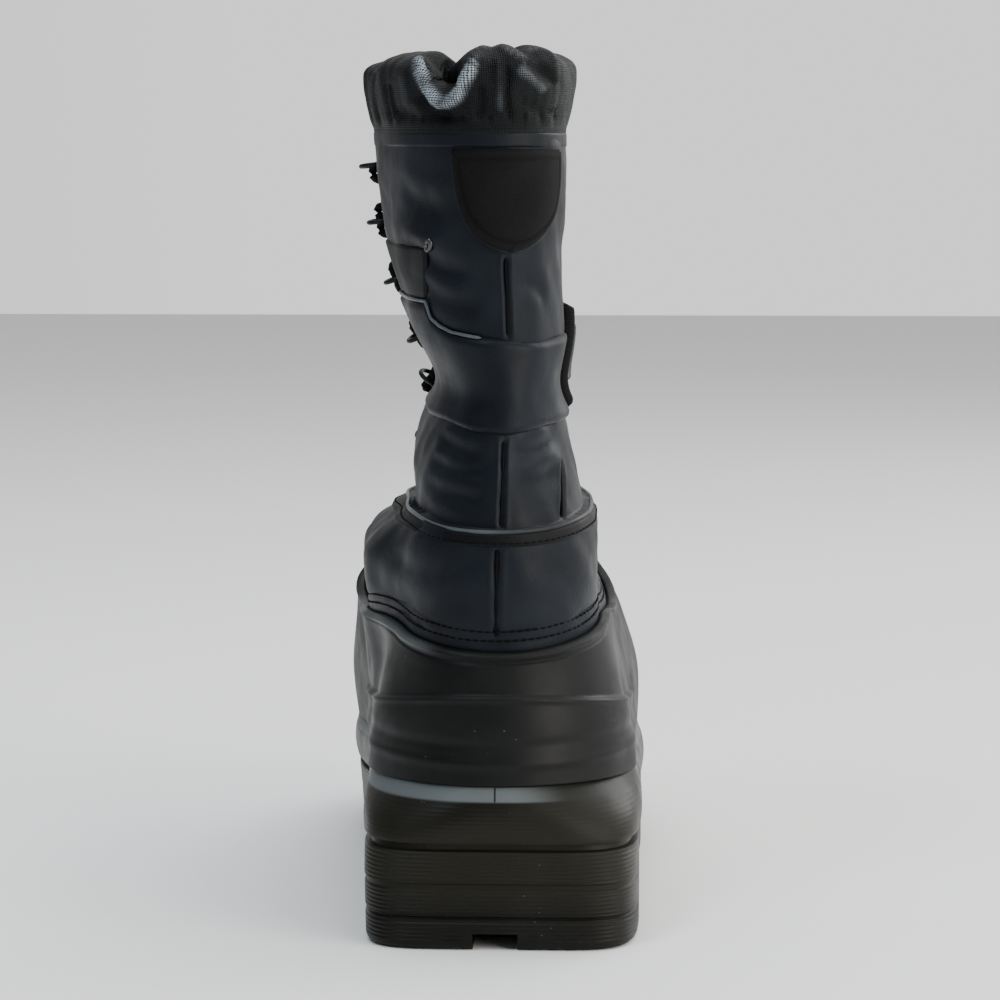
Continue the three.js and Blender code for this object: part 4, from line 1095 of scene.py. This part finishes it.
def upper_piece():
    s = np.linspace(-1, 1, 261)
    turn = s * (0.62 + 0.38 * s * s)
    low = place_at(turn * FRONT, shell_edge(turn * FRONT) - 8)
    place = low + (SEAM_PLACE - low) * np.linspace(0, 1, 172)[:, None]
    front = place[:, 0]
    start = float(place_at_front(column("frontZ", SHELL_PLACE) + THROAT_START))
    gap = np.where(front > start, throat_half(front) * smooth((front - start) / 0.3), 0.0)
    width = angle_away(front, FRONT, gap) - FRONT
    angle = (FRONT - width)[:, None] * turn
    spots = Spots(place, angle)
    step = counter_step(place, angle)
    creases = crease_field(spots.base)
    rise = spots.base[..., 2] - shell_edge(angle)
    free = smooth(rise / 6) * smooth(spots.top / 5)
    soft = 0.45 * rough(spots.base, 34, 11) + 0.22 * rough(spots.base, 13, 12)
    rows = sum(hill(rise, row, 0.8) for row in SHELL_STITCH_ROWS)
    # fold holds the creases, soft waves and the grooves of the stitch rows; the finish darkens its troughs as
    # painted shade.
    fold = (creases + soft * 0.5) * free - 0.8 * rows
    out = -step + (creases + soft) * free - 0.35 * rows
    piece = patch("boot_upper", spots, out, -step - UPPER_WALL, "upper", fold=fold)
    dress(piece, "coated_fabric", "upper")


def band_on_skin(name, low, high, left, right, columns, rows, thick, radius, finish, *nodes, soft=0.0):
    """A band between two functions of the angle that give its lower and upper heights."""
    angle = np.linspace(left, right, columns + 1)
    bottom, top = place_at(angle, low(angle)), place_at(angle, high(angle))
    spots = even_spots(bottom + (top - bottom) * np.linspace(0, 1, rows + 1)[:, None], left, right, columns)
    face = -counter_step(spots.place, spots.angle)
    out = face + thick * pillow(spots.edge, radius) + soft * rough(spots.base, 22, 31)
    dress(patch(name, spots, out, face - 0.25, finish), "coated_fabric", *nodes)


def cord_on_skin(name, place, angle, out, radius, finish, slot):
    line = offset(place, angle, out)
    taper = np.minimum(1, np.minimum(np.arange(len(line)), np.arange(len(line))[::-1]) / 5 + 0.35)
    dress(tubes(name, [dict(points=line, radius=radius * taper)], finish), slot)


def back_span(place):
    """The angles of the throat's two sides at a place, the way round over the back."""
    half = float(throat_half(place)) + 4
    left, right = (float(angle_away(place, FRONT, side * half)) for side in (1, -1))
    return left - TURN, right


def counter_trim():
    seam_lines()
    left, right = back_span(COUNTER_PLACE)
    band_on_skin("counter_tape", lambda a: counter_edge(a) - 5.4, lambda a: counter_edge(a) - 0.6,
                 left, right, 260, 12, 0.5, 1.0, "tape")
    angle = np.linspace(left + 0.02, right - 0.02, 220)
    place = place_at(angle, counter_edge(angle) - 0.2)
    cord_on_skin("counter_piping", place, angle, -0.35, 0.75, "piping", "coated_fabric")
    sew("counter_stitch", place_at(angle, counter_edge(angle) - 4.2), angle, 0.5)


def shell_stitches():
    for row, rise in enumerate(SHELL_STITCH_ROWS):
        angle = np.linspace(-2.72, 2.72, 260)
        sew(f"shell_stitch_{row + 1}", place_at(angle, shell_edge(angle) + rise), angle, -0.1, row + 5)


# Ankle strap, its end and its keeper


def height_line(pixels, ends):
    """Heights on the skin by angle, through pixels of the photograph; ends holds the heights far round."""
    seen = on_skin(pixels)
    high = skin(seen[:, 0], seen[:, 1])[:, 2]
    order = np.argsort(seen[:, 1])
    angle = np.concatenate([[-2.6], seen[order, 1], [1.9, 2.8]])
    height = np.concatenate([[ends[0]], high[order], [ends[1], ends[2]]])
    return lambda at: np.interp(at, angle, height)


strap_low = height_line([(586, 412), (616, 428), (652, 433), (680, 429), (700, 422)], (187, 190, 190))
strap_high = height_line([(568, 301), (573, 317), (582, 325), (594, 331), (620, 336), (656, 338), (690, 340)],
                         (219, 229, 229))


def strap_pieces():
    tab = TURN * TAB_AT - TURN
    middle = float(place_at_back((STRAP_TOP + STRAP_BOTTOM) / 2))
    left = float(angle_away(middle, tab, TAB_LENGTH / 2 + GAP))
    clear = float(throat_half(middle)) + EYESTAY_SETBACK + EYESTAY_WIDTH + STRAP_CLEARANCE
    right = float(angle_away(middle, FRONT, -clear))
    band_on_skin("ankle_band", strap_low, strap_high, left, right, 220, 34, STRAP_THICKNESS + 0.5, 3.2,
                 "strap", "ankle_strap", soft=0.35)
    angle = np.linspace(0.28, right, 150)
    cord_on_skin("band_piping", place_at(angle, strap_high(angle)), angle, -COUNTER_STEP + 1.3, 0.6, "piping",
                 "coated_fabric")
    centre = (STRAP_BOTTOM + STRAP_TOP) / 2 + TAB_RAISE

    def tab_spots(length, height, rows, columns):
        low, high = (float(place_at(tab, centre + side * height / 2)) for side in (-1, 1))
        return strip_spots(np.linspace(low, high, rows + 1), tab, -length / 2, length / 2, columns)

    face = SHAFT_FACE
    spots = tab_spots(TAB_LENGTH, TAB_HEIGHT, 40, 40)
    ribs = 0.16 * np.sin(spots.across * TURN / 2.4) * smooth(spots.edge / 3)
    out = face + TAB_THICKNESS * (0.45 + 0.55 * pillow(spots.edge, 2.6)) + ribs
    dress(patch("strap_tab", spots, out, face - 0.4, "webbing"), "webbing", "strap_end")
    spots = tab_spots(KEEPER_LENGTH, KEEPER_HEIGHT, 30, 14)
    seat = face + TAB_THICKNESS + 0.1
    out = seat + KEEPER_THICKNESS * pillow(spots.edge, 1.9)
    dress(patch("tab_keeper", spots, out, seat - 0.4, "metal"), "metal", "strap_keeper")


# Back pad and top band


def pad_pieces():
    k = np.linspace(0, 1, 90) ** 2.2
    places = mix(float(place_at_back(PAD_BOTTOM)), float(place_at_back(PAD_TOP + 1)), k)
    half = PAD_WIDTH / 2 * np.sqrt(np.maximum(1 - (1 - mix(PAD_FOOT_WIDTH / 4, 1, k)) ** PAD_SQUARENESS, 0))
    spots = strip_spots(places, 0.0, -PAD_SHIFT - half, half - PAD_SHIFT, 90)
    face = SHAFT_FACE
    rim = np.stack([spots.base[:, 0], spots.base[:, -1]], 1).reshape(-1, 3)
    apart = np.linalg.norm(spots.base.reshape(-1, 1, 3) - rim[None], axis=-1).min(1)
    apart = np.minimum(apart.reshape(spots.place.shape), spots.top)
    puff = (PAD_THICKNESS + 0.5) * pillow(apart, 3.5) + 0.22 * rough(spots.base, 16, 41) * smooth(apart / 5)
    ring = -0.35 * hill(apart, 3.6, 0.8)
    # Painted shade: the finish darkens the groove round the pad through the fold attribute.
    piece = patch("mesh_pad", spots, face + puff + ring, face - 0.5, "pad",
                  fold=-0.7 * hill(apart, 3.6, 1.0))
    dress(piece, "pad_fabric", "back_pad", padded=0.5)
    rim = [(spots.place[i, c], spots.angle[i, c]) for c, order in ((0, range(89, -1, -1)), (-1, range(90)))
           for i in order]
    rim = through(np.array(rim), 200)
    cord_on_skin("pad_rim", rim[:, 0], rim[:, 1], face + 0.2, 0.6, "strap", "pad_fabric")
    band_on_skin("top_band", lambda a: PAD_TOP + 1.6 + 0 * a, lambda a: COLLAR_SEAM - 0.2 + 0 * a,
                 *back_span(SEAM_PLACE), 240, 10, 0.35, 0.7, "strap")


# Collar


def collar_point(v, angle, inward=0.0, down=0.0):
    climb = np.sin(clamp01(v / COLLAR_CREST) * math.pi / 2)
    tuck = COLLAR_TUCK * clamp01((v - COLLAR_CREST) / (1 - COLLAR_CREST)) ** 2
    bulge = COLLAR_BULGE * np.sin(clamp01(v / COLLAR_BELLY) * math.pi)
    lip = COLLAR_LIP * smooth((v - LIP_START) / LIP_SPAN)
    dent = drop = 0
    for fold in COLLAR_FOLDS:
        away = (np.degrees(angle) - fold["at"] + 540) % 360 - 180
        share = hill(away, 0, fold["spread"])
        dent = dent + fold["dent"] * share
        drop = drop + fold["drop"] * share
    slack = np.sin(clamp01(v / COLLAR_CREST) * math.pi / 2) * np.sin(v * math.pi / 2 + 0.2)
    gathers = 0.0
    for count, size, turn in ((23, 0.45, 0.4), (37, 0.3, 2.1), (58, 0.2, 4.0)):
        gathers = gathers + size * np.sin(count * angle + turn + 1.4 * np.sin(3 * v + turn))
    calm = 0.3 + 0.7 * smooth((np.abs(angle + 0.1) - 1.0) / 0.6)
    gathers = gathers * smooth(v / 0.08) * (1.1 - 0.5 * v) * calm
    out = -COUNTER_STEP + bulge - lip - dent * COLLAR_RISE * slack + gathers - inward
    base = skin(SEAM_PLACE, angle)
    normal = skin_normal(SEAM_PLACE, angle) * np.array([1, 1, 0])
    fall = COLLAR_FALL * forward(angle)
    height = COLLAR_SEAM + GAP + COLLAR_RISE * climb - tuck - (drop * COLLAR_RISE + fall) * smooth(v) - down
    point = base + unit(normal) * out[..., None]
    point[..., 2] = height
    return point


# The collar's folds along pixels of the photograph: width in pixels and height in millimetres, below zero
# for a trough
# These heights also colour the collar: painted shade in the troughs, a painted highlight on the ridges.
COLLAR_CREASES = [
    ([(566, 60), (573, 80), (582, 96), (593, 104), (605, 97), (614, 80), (624, 62)], 7.5, 4.0),
    ([(589, 69), (596, 73), (603, 71)], 12.5, -7.0),
    ([(566, 96), (580, 114), (600, 119)], 6.0, -1.6),
    ([(540, 112), (572, 121), (612, 122)], 8.0, -1.6),
    ([(653, 66), (656, 80), (655, 100), (658, 126)], 3.4, -1.7),
    ([(645, 60), (647, 90), (648, 118)], 6.0, 0.8),
    ([(661, 70), (676, 80), (690, 96)], 7.0, 1.5),
    ([(672, 62), (690, 72), (704, 86)], 5.0, -1.2),
    ([(668, 98), (684, 110), (704, 114)], 6.0, -1.3),
    ([(536, 84), (540, 104), (542, 118)], 4.0, -1.0),
    ([(552, 76), (556, 96), (560, 110)], 5.0, 0.9),
    ([(628, 86), (629, 104), (626, 122)], 5.0, -1.1),
    ([(622, 58), (632, 50), (645, 48), (664, 60), (680, 53), (694, 52), (706, 66)], 4.5, 1.0),
    ([(548, 116), (549, 130)], 2.2, -0.9),
    ([(571, 118), (570, 130)], 2.2, -0.9),
    ([(589, 119), (590, 130)], 2.0, -0.8),
    ([(610, 116), (611, 130)], 2.4, -1.0),
    ([(637, 116), (636, 130)], 2.2, -0.9),
    ([(672, 114), (671, 130)], 2.4, -1.0),
    ([(689, 114), (688, 130)], 2.2, -0.9),
    ([(702, 116), (700, 130)], 2.0, -0.8),
]


def collar_folds(points, facing):
    """Heights of the listed folds at points of the collar that face the photograph's camera."""
    pixels = project(points)
    total = np.zeros(points.shape[:-1])
    for line, width, height in COLLAR_CREASES:
        line = through(line, 20)
        apart = np.linalg.norm(pixels[..., None, :] - line, axis=-1)
        share = apart.argmin(-1) / 19
        fade = smooth((share + 0.08) / 0.25) * smooth((1.08 - share) / 0.25)
        total += height * fade * hill(apart.min(-1), 0, width)
    return total * smooth((facing - 0.1) / 0.3)


def collar_piece():
    v, angle = np.meshgrid(np.linspace(0, 1, 96), np.linspace(-FRONT, FRONT, 481), indexing="ij")
    outer = collar_point(v, angle)
    soft = 0.7 * rough(outer, 17, 51) + 0.35 * rough(outer, 8, 52)
    over = smooth((v - EDGE_TURN) / EDGE_TURN_SPAN)
    thinning = smooth((v - 1 + EDGE_THINNING) / EDGE_THINNING) / 2
    inner = collar_point(v, angle, COLLAR_WALL * (1 - over - thinning), COLLAR_WALL * over)
    away = unit(np.cross(np.gradient(outer, axis=1), np.gradient(outer, axis=0)))
    flat = smooth(v / 0.1) * smooth((1 - v) / 0.06)
    if (away[10, 240] @ np.array([0, -1.0, 0])) < 0:
        away = -away
    folds = collar_folds(outer, -away[..., 1]) * smooth((0.72 - v) / 0.2)
    soft = soft * (0.35 + 0.65 * smooth((0.2 - away[..., 1]) / -0.4)) + folds
    shift = away * (soft * flat)[..., None]
    shift[..., 2] -= 2.5 * hill(v, 0, 0.004)
    points, faces = slab(outer + shift, inner + shift, joined=True)
    uv = np.tile(np.stack(flat_lengths(outer), -1).reshape(-1, 2), (2, 1))
    # fold: the collar's heights, which its finish turns into painted shade and painted highlight.
    fold = np.concatenate([(soft * flat).ravel(), np.zeros(soft.size)])
    piece = make("nylon_collar", points, faces, "collar", uv, fold, weld=True)
    dress(piece, "collar_nylon", "snow_collar", padded=0.3)


# Tongue, eyestays, rings and lace


def tongue_piece():
    low = float(place_at_front(INSTEP_HEIGHT - TONGUE_BELOW))
    places = np.linspace(low, float(place_at_front(COLLAR_SEAM)) - 0.02, 90)
    spots = strip_spots(places, FRONT, -TONGUE_WIDTH / 2, TONGUE_WIDTH / 2, 60)
    face = -COUNTER_STEP - UPPER_WALL - 2 * GAP
    quilt = -0.4 * hill(np.abs(spots.across), 9, 1.2)
    out = face + quilt + 0.15 * rough(spots.base, 14, 61) - 1.2 * (1 - pillow(spots.edge, 4))
    # Painted shade: the finish darkens the quilting lines through the fold attribute.
    piece = patch("tongue_pad", spots, out - 0.2, face - TONGUE_THICKNESS + 0.4, "upper", fold=quilt)
    dress(piece, "coated_fabric", "tongue", padded=0.4)


EYESTAY_LOW = float(place_at_front(column("frontZ", COUNTER_PLACE) + EYESTAY_START))
EYESTAY_HIGH = float(place_at_front(column("frontZ", SEAM_PLACE) - EYESTAY_END))


def eyestay_piece(side, word):
    places = np.linspace(EYESTAY_LOW, EYESTAY_HIGH, 120)
    near = throat_half(places) + EYESTAY_SETBACK
    spots = strip_spots(places, FRONT, side * near, side * (near + EYESTAY_WIDTH), 24)
    out = SHAFT_FACE + EYESTAY_THICKNESS * (0.3 + 0.7 * pillow(spots.edge, 1.3))
    band = patch(f"eyestay_band_{word}", spots, out, SHAFT_FACE - 0.5, "strap")
    dress(band, "coated_fabric", f"eyestay_{word}")
    for row, share in enumerate((2.0, EYESTAY_WIDTH - 2.0)):
        sew(f"eyestay_stitch_{word}_{row + 1}", places, angle_away(places, FRONT, side * (near + share)),
            SHAFT_FACE + EYESTAY_THICKNESS + 0.05, seed=row + 13)


def medial_facing():
    """The smooth facing behind the inner eyestay, with a metal loop at its upper corner."""
    seen = on_skin([(567, 247), (567, 262), (567, 280), (567, 301)])
    high = skin(seen[:, 0], seen[:, 1])[:, 2]
    line = lambda z: np.interp(z, high[::-1], seen[::-1, 1])
    places = np.linspace(float(place_at(1.4, high[-1] + 1)), float(place_at(1.4, high[0])), 40)
    near = throat_half(places) + EYESTAY_SETBACK + EYESTAY_WIDTH
    spots = even_spots(places, line(skin(places, 0.9)[:, 2]), angle_away(places, FRONT, -near) + 0.02, 60)
    face = -COUNTER_STEP
    dress(patch("medial_facing", spots, face + 0.75 * pillow(spots.edge, 0.8), face - 0.6, "tape"),
          "coated_fabric")
    seat = on_skin([(571, 245)])[0]
    foot, up = offset(seat[0], seat[1], np.array(face + 0.5)), skin_normal(*seat)
    turn = np.linspace(0, TURN, 33)
    side = unit(np.cross(up, [0, 0, 1.0]))
    rise = np.cross(side, up)
    side, rise = side * 0.87 + rise * 0.5, rise * 0.87 - side * 0.5
    loop = foot + up * 0.4 + (np.cos(turn) * 1.1)[:, None] * side + (np.sin(turn) * 1.9)[:, None] * rise
    dress(tubes("facing_loop", [dict(points=loop, radius=0.95)], "metal"), "metal")


def ring_seat(row, side):
    first = float(place_at_front(column("frontZ", EYESTAY_LOW) + RING_FIRST))
    last = float(place_at_front(column("frontZ", EYESTAY_HIGH) - RING_LAST))
    height = mix(column("frontZ", first), column("frontZ", last), row / (RING_COUNT - 1))
    place = float(place_at_front(height))
    angle = float(angle_away(place, FRONT, side * (throat_half(place) + EYESTAY_SETBACK + RING_SETBACK)))
    up = skin_normal(place, angle)
    along = unit(skin(place + 0.05, angle) - skin(place - 0.05, angle))
    along = unit(along - up * (along @ up))
    foot = offset(place, angle, np.array(SHAFT_FACE + EYESTAY_THICKNESS + RING_GAP))
    return dict(place=place, angle=angle, side=side, foot=foot, up=up, along=along,
                across=np.cross(along, up))


RING_CENTRE = RIVET_HEIGHT + RING_RADIUS - RING_SINK
SEATS = {(row, side): ring_seat(row, side) for row in range(RING_COUNT) for side in (-1, 1)}


def ring_pieces():
    t = np.linspace(0, TURN, 33)
    wire = np.stack([np.zeros(33), RING_RADIUS * np.sin(t), RING_CENTRE - RING_RADIUS * np.cos(t)], -1)
    points, faces, _ = tube(wire, RING_WIRE / 2, 10, up=(1.0, 0, 0))
    profile = [(RIVET_RADIUS, 0), (RIVET_RADIUS, 0.5), (RIVET_RADIUS * 0.85, 1.0), (RIVET_RADIUS * 0.5, 1.35),
               (0.01, 1.45)]
    turn = np.linspace(0, TURN, 24, endpoint=False)
    dome = np.array([[(r * math.cos(a), r * math.sin(a), h) for a in turn] for r, h in [(0.01, 0), *profile]])
    faces = np.concatenate([faces, ring_faces(len(dome), 24) + len(points)])
    model = model_of(np.concatenate([points, dome.reshape(-1, 3)]), faces, "ring")
    feet, along, up = ([seat[key] for seat in SEATS.values()] for key in ("foot", "along", "up"))
    rings = repeated("lace_ring_set", model, np.array(feet) - 0.3 * np.array(up), along, up, "ring")
    names = [f"lace_ring_{word}_{row + 1}" for word in ("medial", "lateral") for row in range(RING_COUNT)]
    dress(rings, "metal", *names)


def lace_piece():
    over = SHAFT_FACE + EYESTAY_THICKNESS + RING_GAP + RING_CENTRE

    def inside(seat, share):
        pull = seat["across"] * LACE_PULL * seat["side"]
        return seat["foot"] + seat["up"] * RING_CENTRE + pull + seat["along"] * LACE_REACH * share

    def crossing(start, end, start_share, end_share):
        points = [inside(start, -0.1 * start_share), inside(start, start_share)]
        for k in (0.3, 0.5, 0.7):
            points.append(offset(mix(start["place"], end["place"], k), mix(start["angle"], end["angle"], k),
                                 np.array(over)))
        points += [inside(end, end_share), inside(end, -0.1 * end_share)]
        return dict(points=through(points, 48), radius=LACE_DIAMETER / 2, sides=12)

    lines = [crossing(SEATS[0, -1], SEATS[0, 1], -1, -1)]
    for row in range(RING_COUNT - 1):
        for side in (-1, 1):
            lines.append(crossing(SEATS[row, side], SEATS[row + 1, -side], 1, -1))
    dress(tubes("lace_cord", lines, "cord"), "webbing", "lace")


# Outsole


def outline(angle, out, height, square):
    def plan(at):
        point = skin(np.zeros(np.shape(at)), at)
        back = clamp01(1 - forward(at) / column("heelEnd", 0))
        power = mix(2, 2 + HEEL_SQUARE, square)
        round_heel = np.sqrt(1 - back ** 2)
        squared = (1 - back ** power) ** (1 / power)
        point[..., 0] *= np.where(round_heel > 1e-6, squared / np.maximum(round_heel, 1e-6), 1.0)
        return point

    point = plan(angle)
    tangent = plan(angle + 0.01) - plan(angle - 0.01)
    normal = unit(np.stack([-tangent[..., 1], tangent[..., 0], np.zeros(np.shape(angle))], -1))
    facing = normal[..., 0] * point[..., 0] + normal[..., 1] * (point[..., 1] - FOOT_LENGTH / 3)
    normal = np.where((facing < 0)[..., None], -normal, normal)
    point = point + normal * np.asarray(out)[..., None]
    point[..., 2] = height
    return point


def tread_height(y):
    share = (y + HEEL_SETBACK) / FOOT_LENGTH
    between = lambda low, high: smooth((share - low) / (high - low))
    arch = between(ARCH_STATIONS["start"], ARCH_STATIONS["risen"]) \
        * (1 - between(ARCH_STATIONS["falling"], ARCH_STATIONS["end"]))
    spring = between(SPRING_STATIONS["start"], SPRING_STATIONS["end"])
    return ARCH_RISE * arch + TOE_SPRING * spring * SPRING_GAIN


def sole_profile():
    """Distances below the rim and outwards, from the tread up, with a mark where fine ribs run."""
    tall = RIM_HEEL
    band = BEVEL_HEIGHT + BAND_HEIGHT
    groove = band + GROOVE_HEIGHT
    plain_out = SOLE_PROUD - 0.3
    turn = np.linspace(0, math.pi / 2, 6)
    rows = [(tall - TREAD_CORNER * (1 - math.cos(t)) * 0.9, plain_out - TREAD_CORNER * (1 - math.sin(t)), 0)
            for t in turn]
    wall = np.linspace(tall - TREAD_CORNER, groove + 0.6, 46)
    for down in wall:
        rib = sum(hill(down, mix(groove, tall, k), RIB_HEIGHT * 0.75) for k in RIB_PLACES)
        rows.append((down, plain_out - RIB_DEPTH * rib, 1))
    rows += [(groove, plain_out - 0.3, 0), (groove - 0.5, plain_out - GROOVE_DEPTH, 0),
             (band + 0.5, plain_out - GROOVE_DEPTH, 0), (band, SOLE_PROUD - 0.4, 0)]
    for k in np.linspace(0.06, 0.94, 14):
        rows.append((mix(band, BEVEL_HEIGHT, k), SOLE_PROUD + BAND_PROUD * math.sin(k * math.pi), 0.12))
    rows += [(BEVEL_HEIGHT + 0.3, SOLE_PROUD, 0), (BEVEL_HEIGHT - 0.5, SOLE_PROUD - 0.35, 0),
             (0.6, SOLE_PROUD - BEVEL_DEPTH, 0), (0.0, SOLE_PROUD - BEVEL_DEPTH - 0.5, 0)]
    return rows


def outsole_piece():
    around = 320
    angle = np.linspace(0, TURN, around, endpoint=False)
    rim = skin(np.zeros(around), angle)[:, 2]
    y = skin(np.zeros(around), angle)[:, 1]
    tread = tread_height(y)
    ahead = smooth((y + HEEL_SETBACK) / FOOT_LENGTH / BALL_STATION)
    side = np.sin(angle)
    rings, marks = [], []
    for down, out, mark in sole_profile():
        share = down / RIM_HEEL
        taper = mix(SOLE_TAPER_HEEL, SOLE_TAPER, ahead) * share
        flare = mix(SOLE_FLARE, SOLE_FLARE_BALL, ahead) * smooth(share / FLARE_SHARE)
        shift = np.abs(side) * np.where(side > 0, -taper, flare)
        rings.append(outline(angle, out + shift, mix(rim, tread, share), smooth(share / SQUARE_SHARE)))
        marks.append(mark)
    inner = np.full(around, SOLE_PROUD - SOLE_WALL)
    floor = mix(FLOOR_HEEL, FLOOR_TOE, forward(angle))
    rings += [outline(angle, inner, rim, 0.0), outline(angle, inner, floor, 0.0)]
    marks += [0, 0]
    grid = np.array(rings)
    count = len(rings)
    j = np.arange(1, around // 2 - 1)
    strip = np.stack([j, j + 1, around - j - 1, around - j], -1)
    top = (count - 1) * around
    tris = [(0, around - 1, 1), (around // 2 - 1, around // 2 + 1, around // 2)]
    faces = [*ring_faces(count, around).tolist(), *strip[:, ::-1].tolist(), *(strip + top).tolist()]
    faces += tris + [tuple(v + top for v in t[::-1]) for t in tris]
    mesh = bpy.data.meshes.new("tread_sole")
    mesh.from_pydata((grid.reshape(-1, 3) * MM).tolist(), [], faces)
    # Painted highlight on the bevel above the outsole's band, fading on the outer side of the heel and halved
    # towards the toe.
    ledge_painted_highlight = np.array([float(0.5 < down < BEVEL_HEIGHT) for down, _, _ in sole_profile()] + [0.0, 0.0])
    across = skin(np.zeros(around), angle)[:, 0]
    pale = 1 - 0.96 * smooth((across - 3) / 19) * smooth((40 - y) / 30)
    ledge_painted_highlight = ledge_painted_highlight[:, None] * pale * (1 - 0.5 * smooth(y / 80))
    note(mesh, mark=np.repeat(marks, around), fold=ledge_painted_highlight)
    obj = link(bpy.data.objects.new("tread_sole", mesh))
    mesh.materials.append(FINISHES["sole"])
    cutters = [((NOTCH_WIDTH, NOTCH_LENGTH * 2, 2 * LUG_DEPTH), (0, -HEEL_SETBACK - SOLE_PROUD, 0), 0)]
    for c in TREAD_CHANNELS:
        at = c["along"] * FOOT_LENGTH
        high = float(tread_height(at)) + LUG_DEPTH
        length = c["lengthwise"] * FOOT_LENGTH if c["lengthwise"] else CHANNEL_WIDTH
        width = CHANNEL_WIDTH if c["lengthwise"] else 2 * BALL_WIDTH
        cutters.append(((width, length, high + 4), (c["across"] * BALL_WIDTH, at, (high - 4) / 2),
                        math.radians(c["turn"])))
    boxes = []
    for size, centre, turn in cutters:
        bpy.ops.mesh.primitive_cube_add(size=1)
        box = bpy.context.object
        box.scale = [s * MM for s in size]
        box.location = [c * MM for c in centre]
        box.rotation_euler = (0, 0, turn)
        modifier = obj.modifiers.new("channel", "BOOLEAN")
        modifier.operation = "DIFFERENCE"
        modifier.solver = "MANIFOLD"
        modifier.object = box
        boxes.append(box)
    obj = settled(obj)
    for box in boxes:
        bpy.data.objects.remove(box)
    obj.data.shade_smooth()
    obj.data.set_sharp_from_angle(angle=math.radians(38))
    dress(obj, "sole_rubber", "outsole")


shell_piece()
upper_piece()
counter_trim()
shell_stitches()
strap_pieces()
pad_pieces()
collar_piece()
tongue_piece()
for side, word in ((-1, "medial"), (1, "lateral")):
    eyestay_piece(side, word)
medial_facing()
ring_pieces()
lace_piece()
outsole_piece()
insole = frame["nodes"]["insole"]
insole.data.materials.clear()
insole.data.materials.append(FINISHES["lining"])


# Floor, light and camera


def stage():
    bpy.ops.mesh.primitive_plane_add(size=8, location=(0, 0, 0))
    floor = bpy.context.object
    floor.name = "floor"
    material = bpy.data.materials.new("floor")
    material.use_nodes = True
    surface = material.node_tree.nodes["Principled BSDF"]
    surface.inputs["Base Color"].default_value = (0.86, 0.86, 0.86, 1)
    surface.inputs["Roughness"].default_value = 0.7
    floor.data.materials.append(material)
    world = bpy.data.worlds.new("studio")
    bpy.context.scene.world = world
    world.use_nodes = True
    tree = world.node_tree
    direction = Wire(tree, None).use("ShaderNodeTexCoord", out="Generated")
    ahead = direction.use("ShaderNodeVectorMath", {0: direction, 1: (0.72, 0.69, 0.05)}, "Value",
                          operation="DOT_PRODUCT")
    strength = ahead.use("ShaderNodeMapRange", {0: ahead, 1: 0.0, 2: 0.6, 3: 0.28, 4: 1.15})
    tree.links.new(strength.socket, tree.nodes["Background"].inputs["Strength"])
    tree.nodes["Background"].inputs["Color"].default_value = (1, 1, 1, 1)


def lamp(name, place, size, power, aim=(0, 0, 0.14), colour=(1, 1, 1)):
    light = bpy.data.lights.new(name, "AREA")
    light.shape = "RECTANGLE"
    light.size, light.size_y = size
    light.energy = power
    light.color = colour
    obj = link(bpy.data.objects.new(name, light))
    obj.location = place
    obj.rotation_euler = (Vector(aim) - Vector(place)).to_track_quat("-Z", "Y").to_euler()


# Millimetres and downward pitch that show the boot's rows where the photograph has them
CAMERA_LENS = 119.3
CAMERA_PITCH = math.radians(6.386)


def shoot():
    camera = link(bpy.data.objects.new("camera", bpy.data.cameras.new("camera")))
    camera.data.lens = CAMERA_LENS
    camera.data.sensor_width = 36
    sway = CAMERA_TURN - math.atan((BOOT_COLUMN - HEEL_COLUMN) / FOCAL)
    camera.location = (CAMERA_DISTANCE * math.sin(CAMERA_TURN) * MM,
                       (HEEL_BACK - CAMERA_DISTANCE * math.cos(CAMERA_TURN)) * MM, CAMERA_HEIGHT * MM)
    camera.rotation_euler = (math.pi / 2 - CAMERA_PITCH, 0, sway)
    camera.data.clip_start, camera.data.clip_end = 0.05, 30
    bpy.context.scene.camera = camera


stage()
lamp("key", (-0.85, -1.0, 1.9), (0.6, 0.6), 17, colour=(0.7, 0.86, 1.0))
lamp("fill", (1.9, -1.25, 0.85), (1.8, 1.8), 62, colour=(1.0, 0.95, 0.87))
lamp("top", (0.1, 0.2, 1.9), (1.6, 1.6), 32)
lamp("front", (1.3, 1.3, 0.9), (1.0, 1.0), 12)
shoot()

for item in [o for o in bpy.data.objects if o.name.startswith("model")]:
    bpy.data.objects.remove(item)
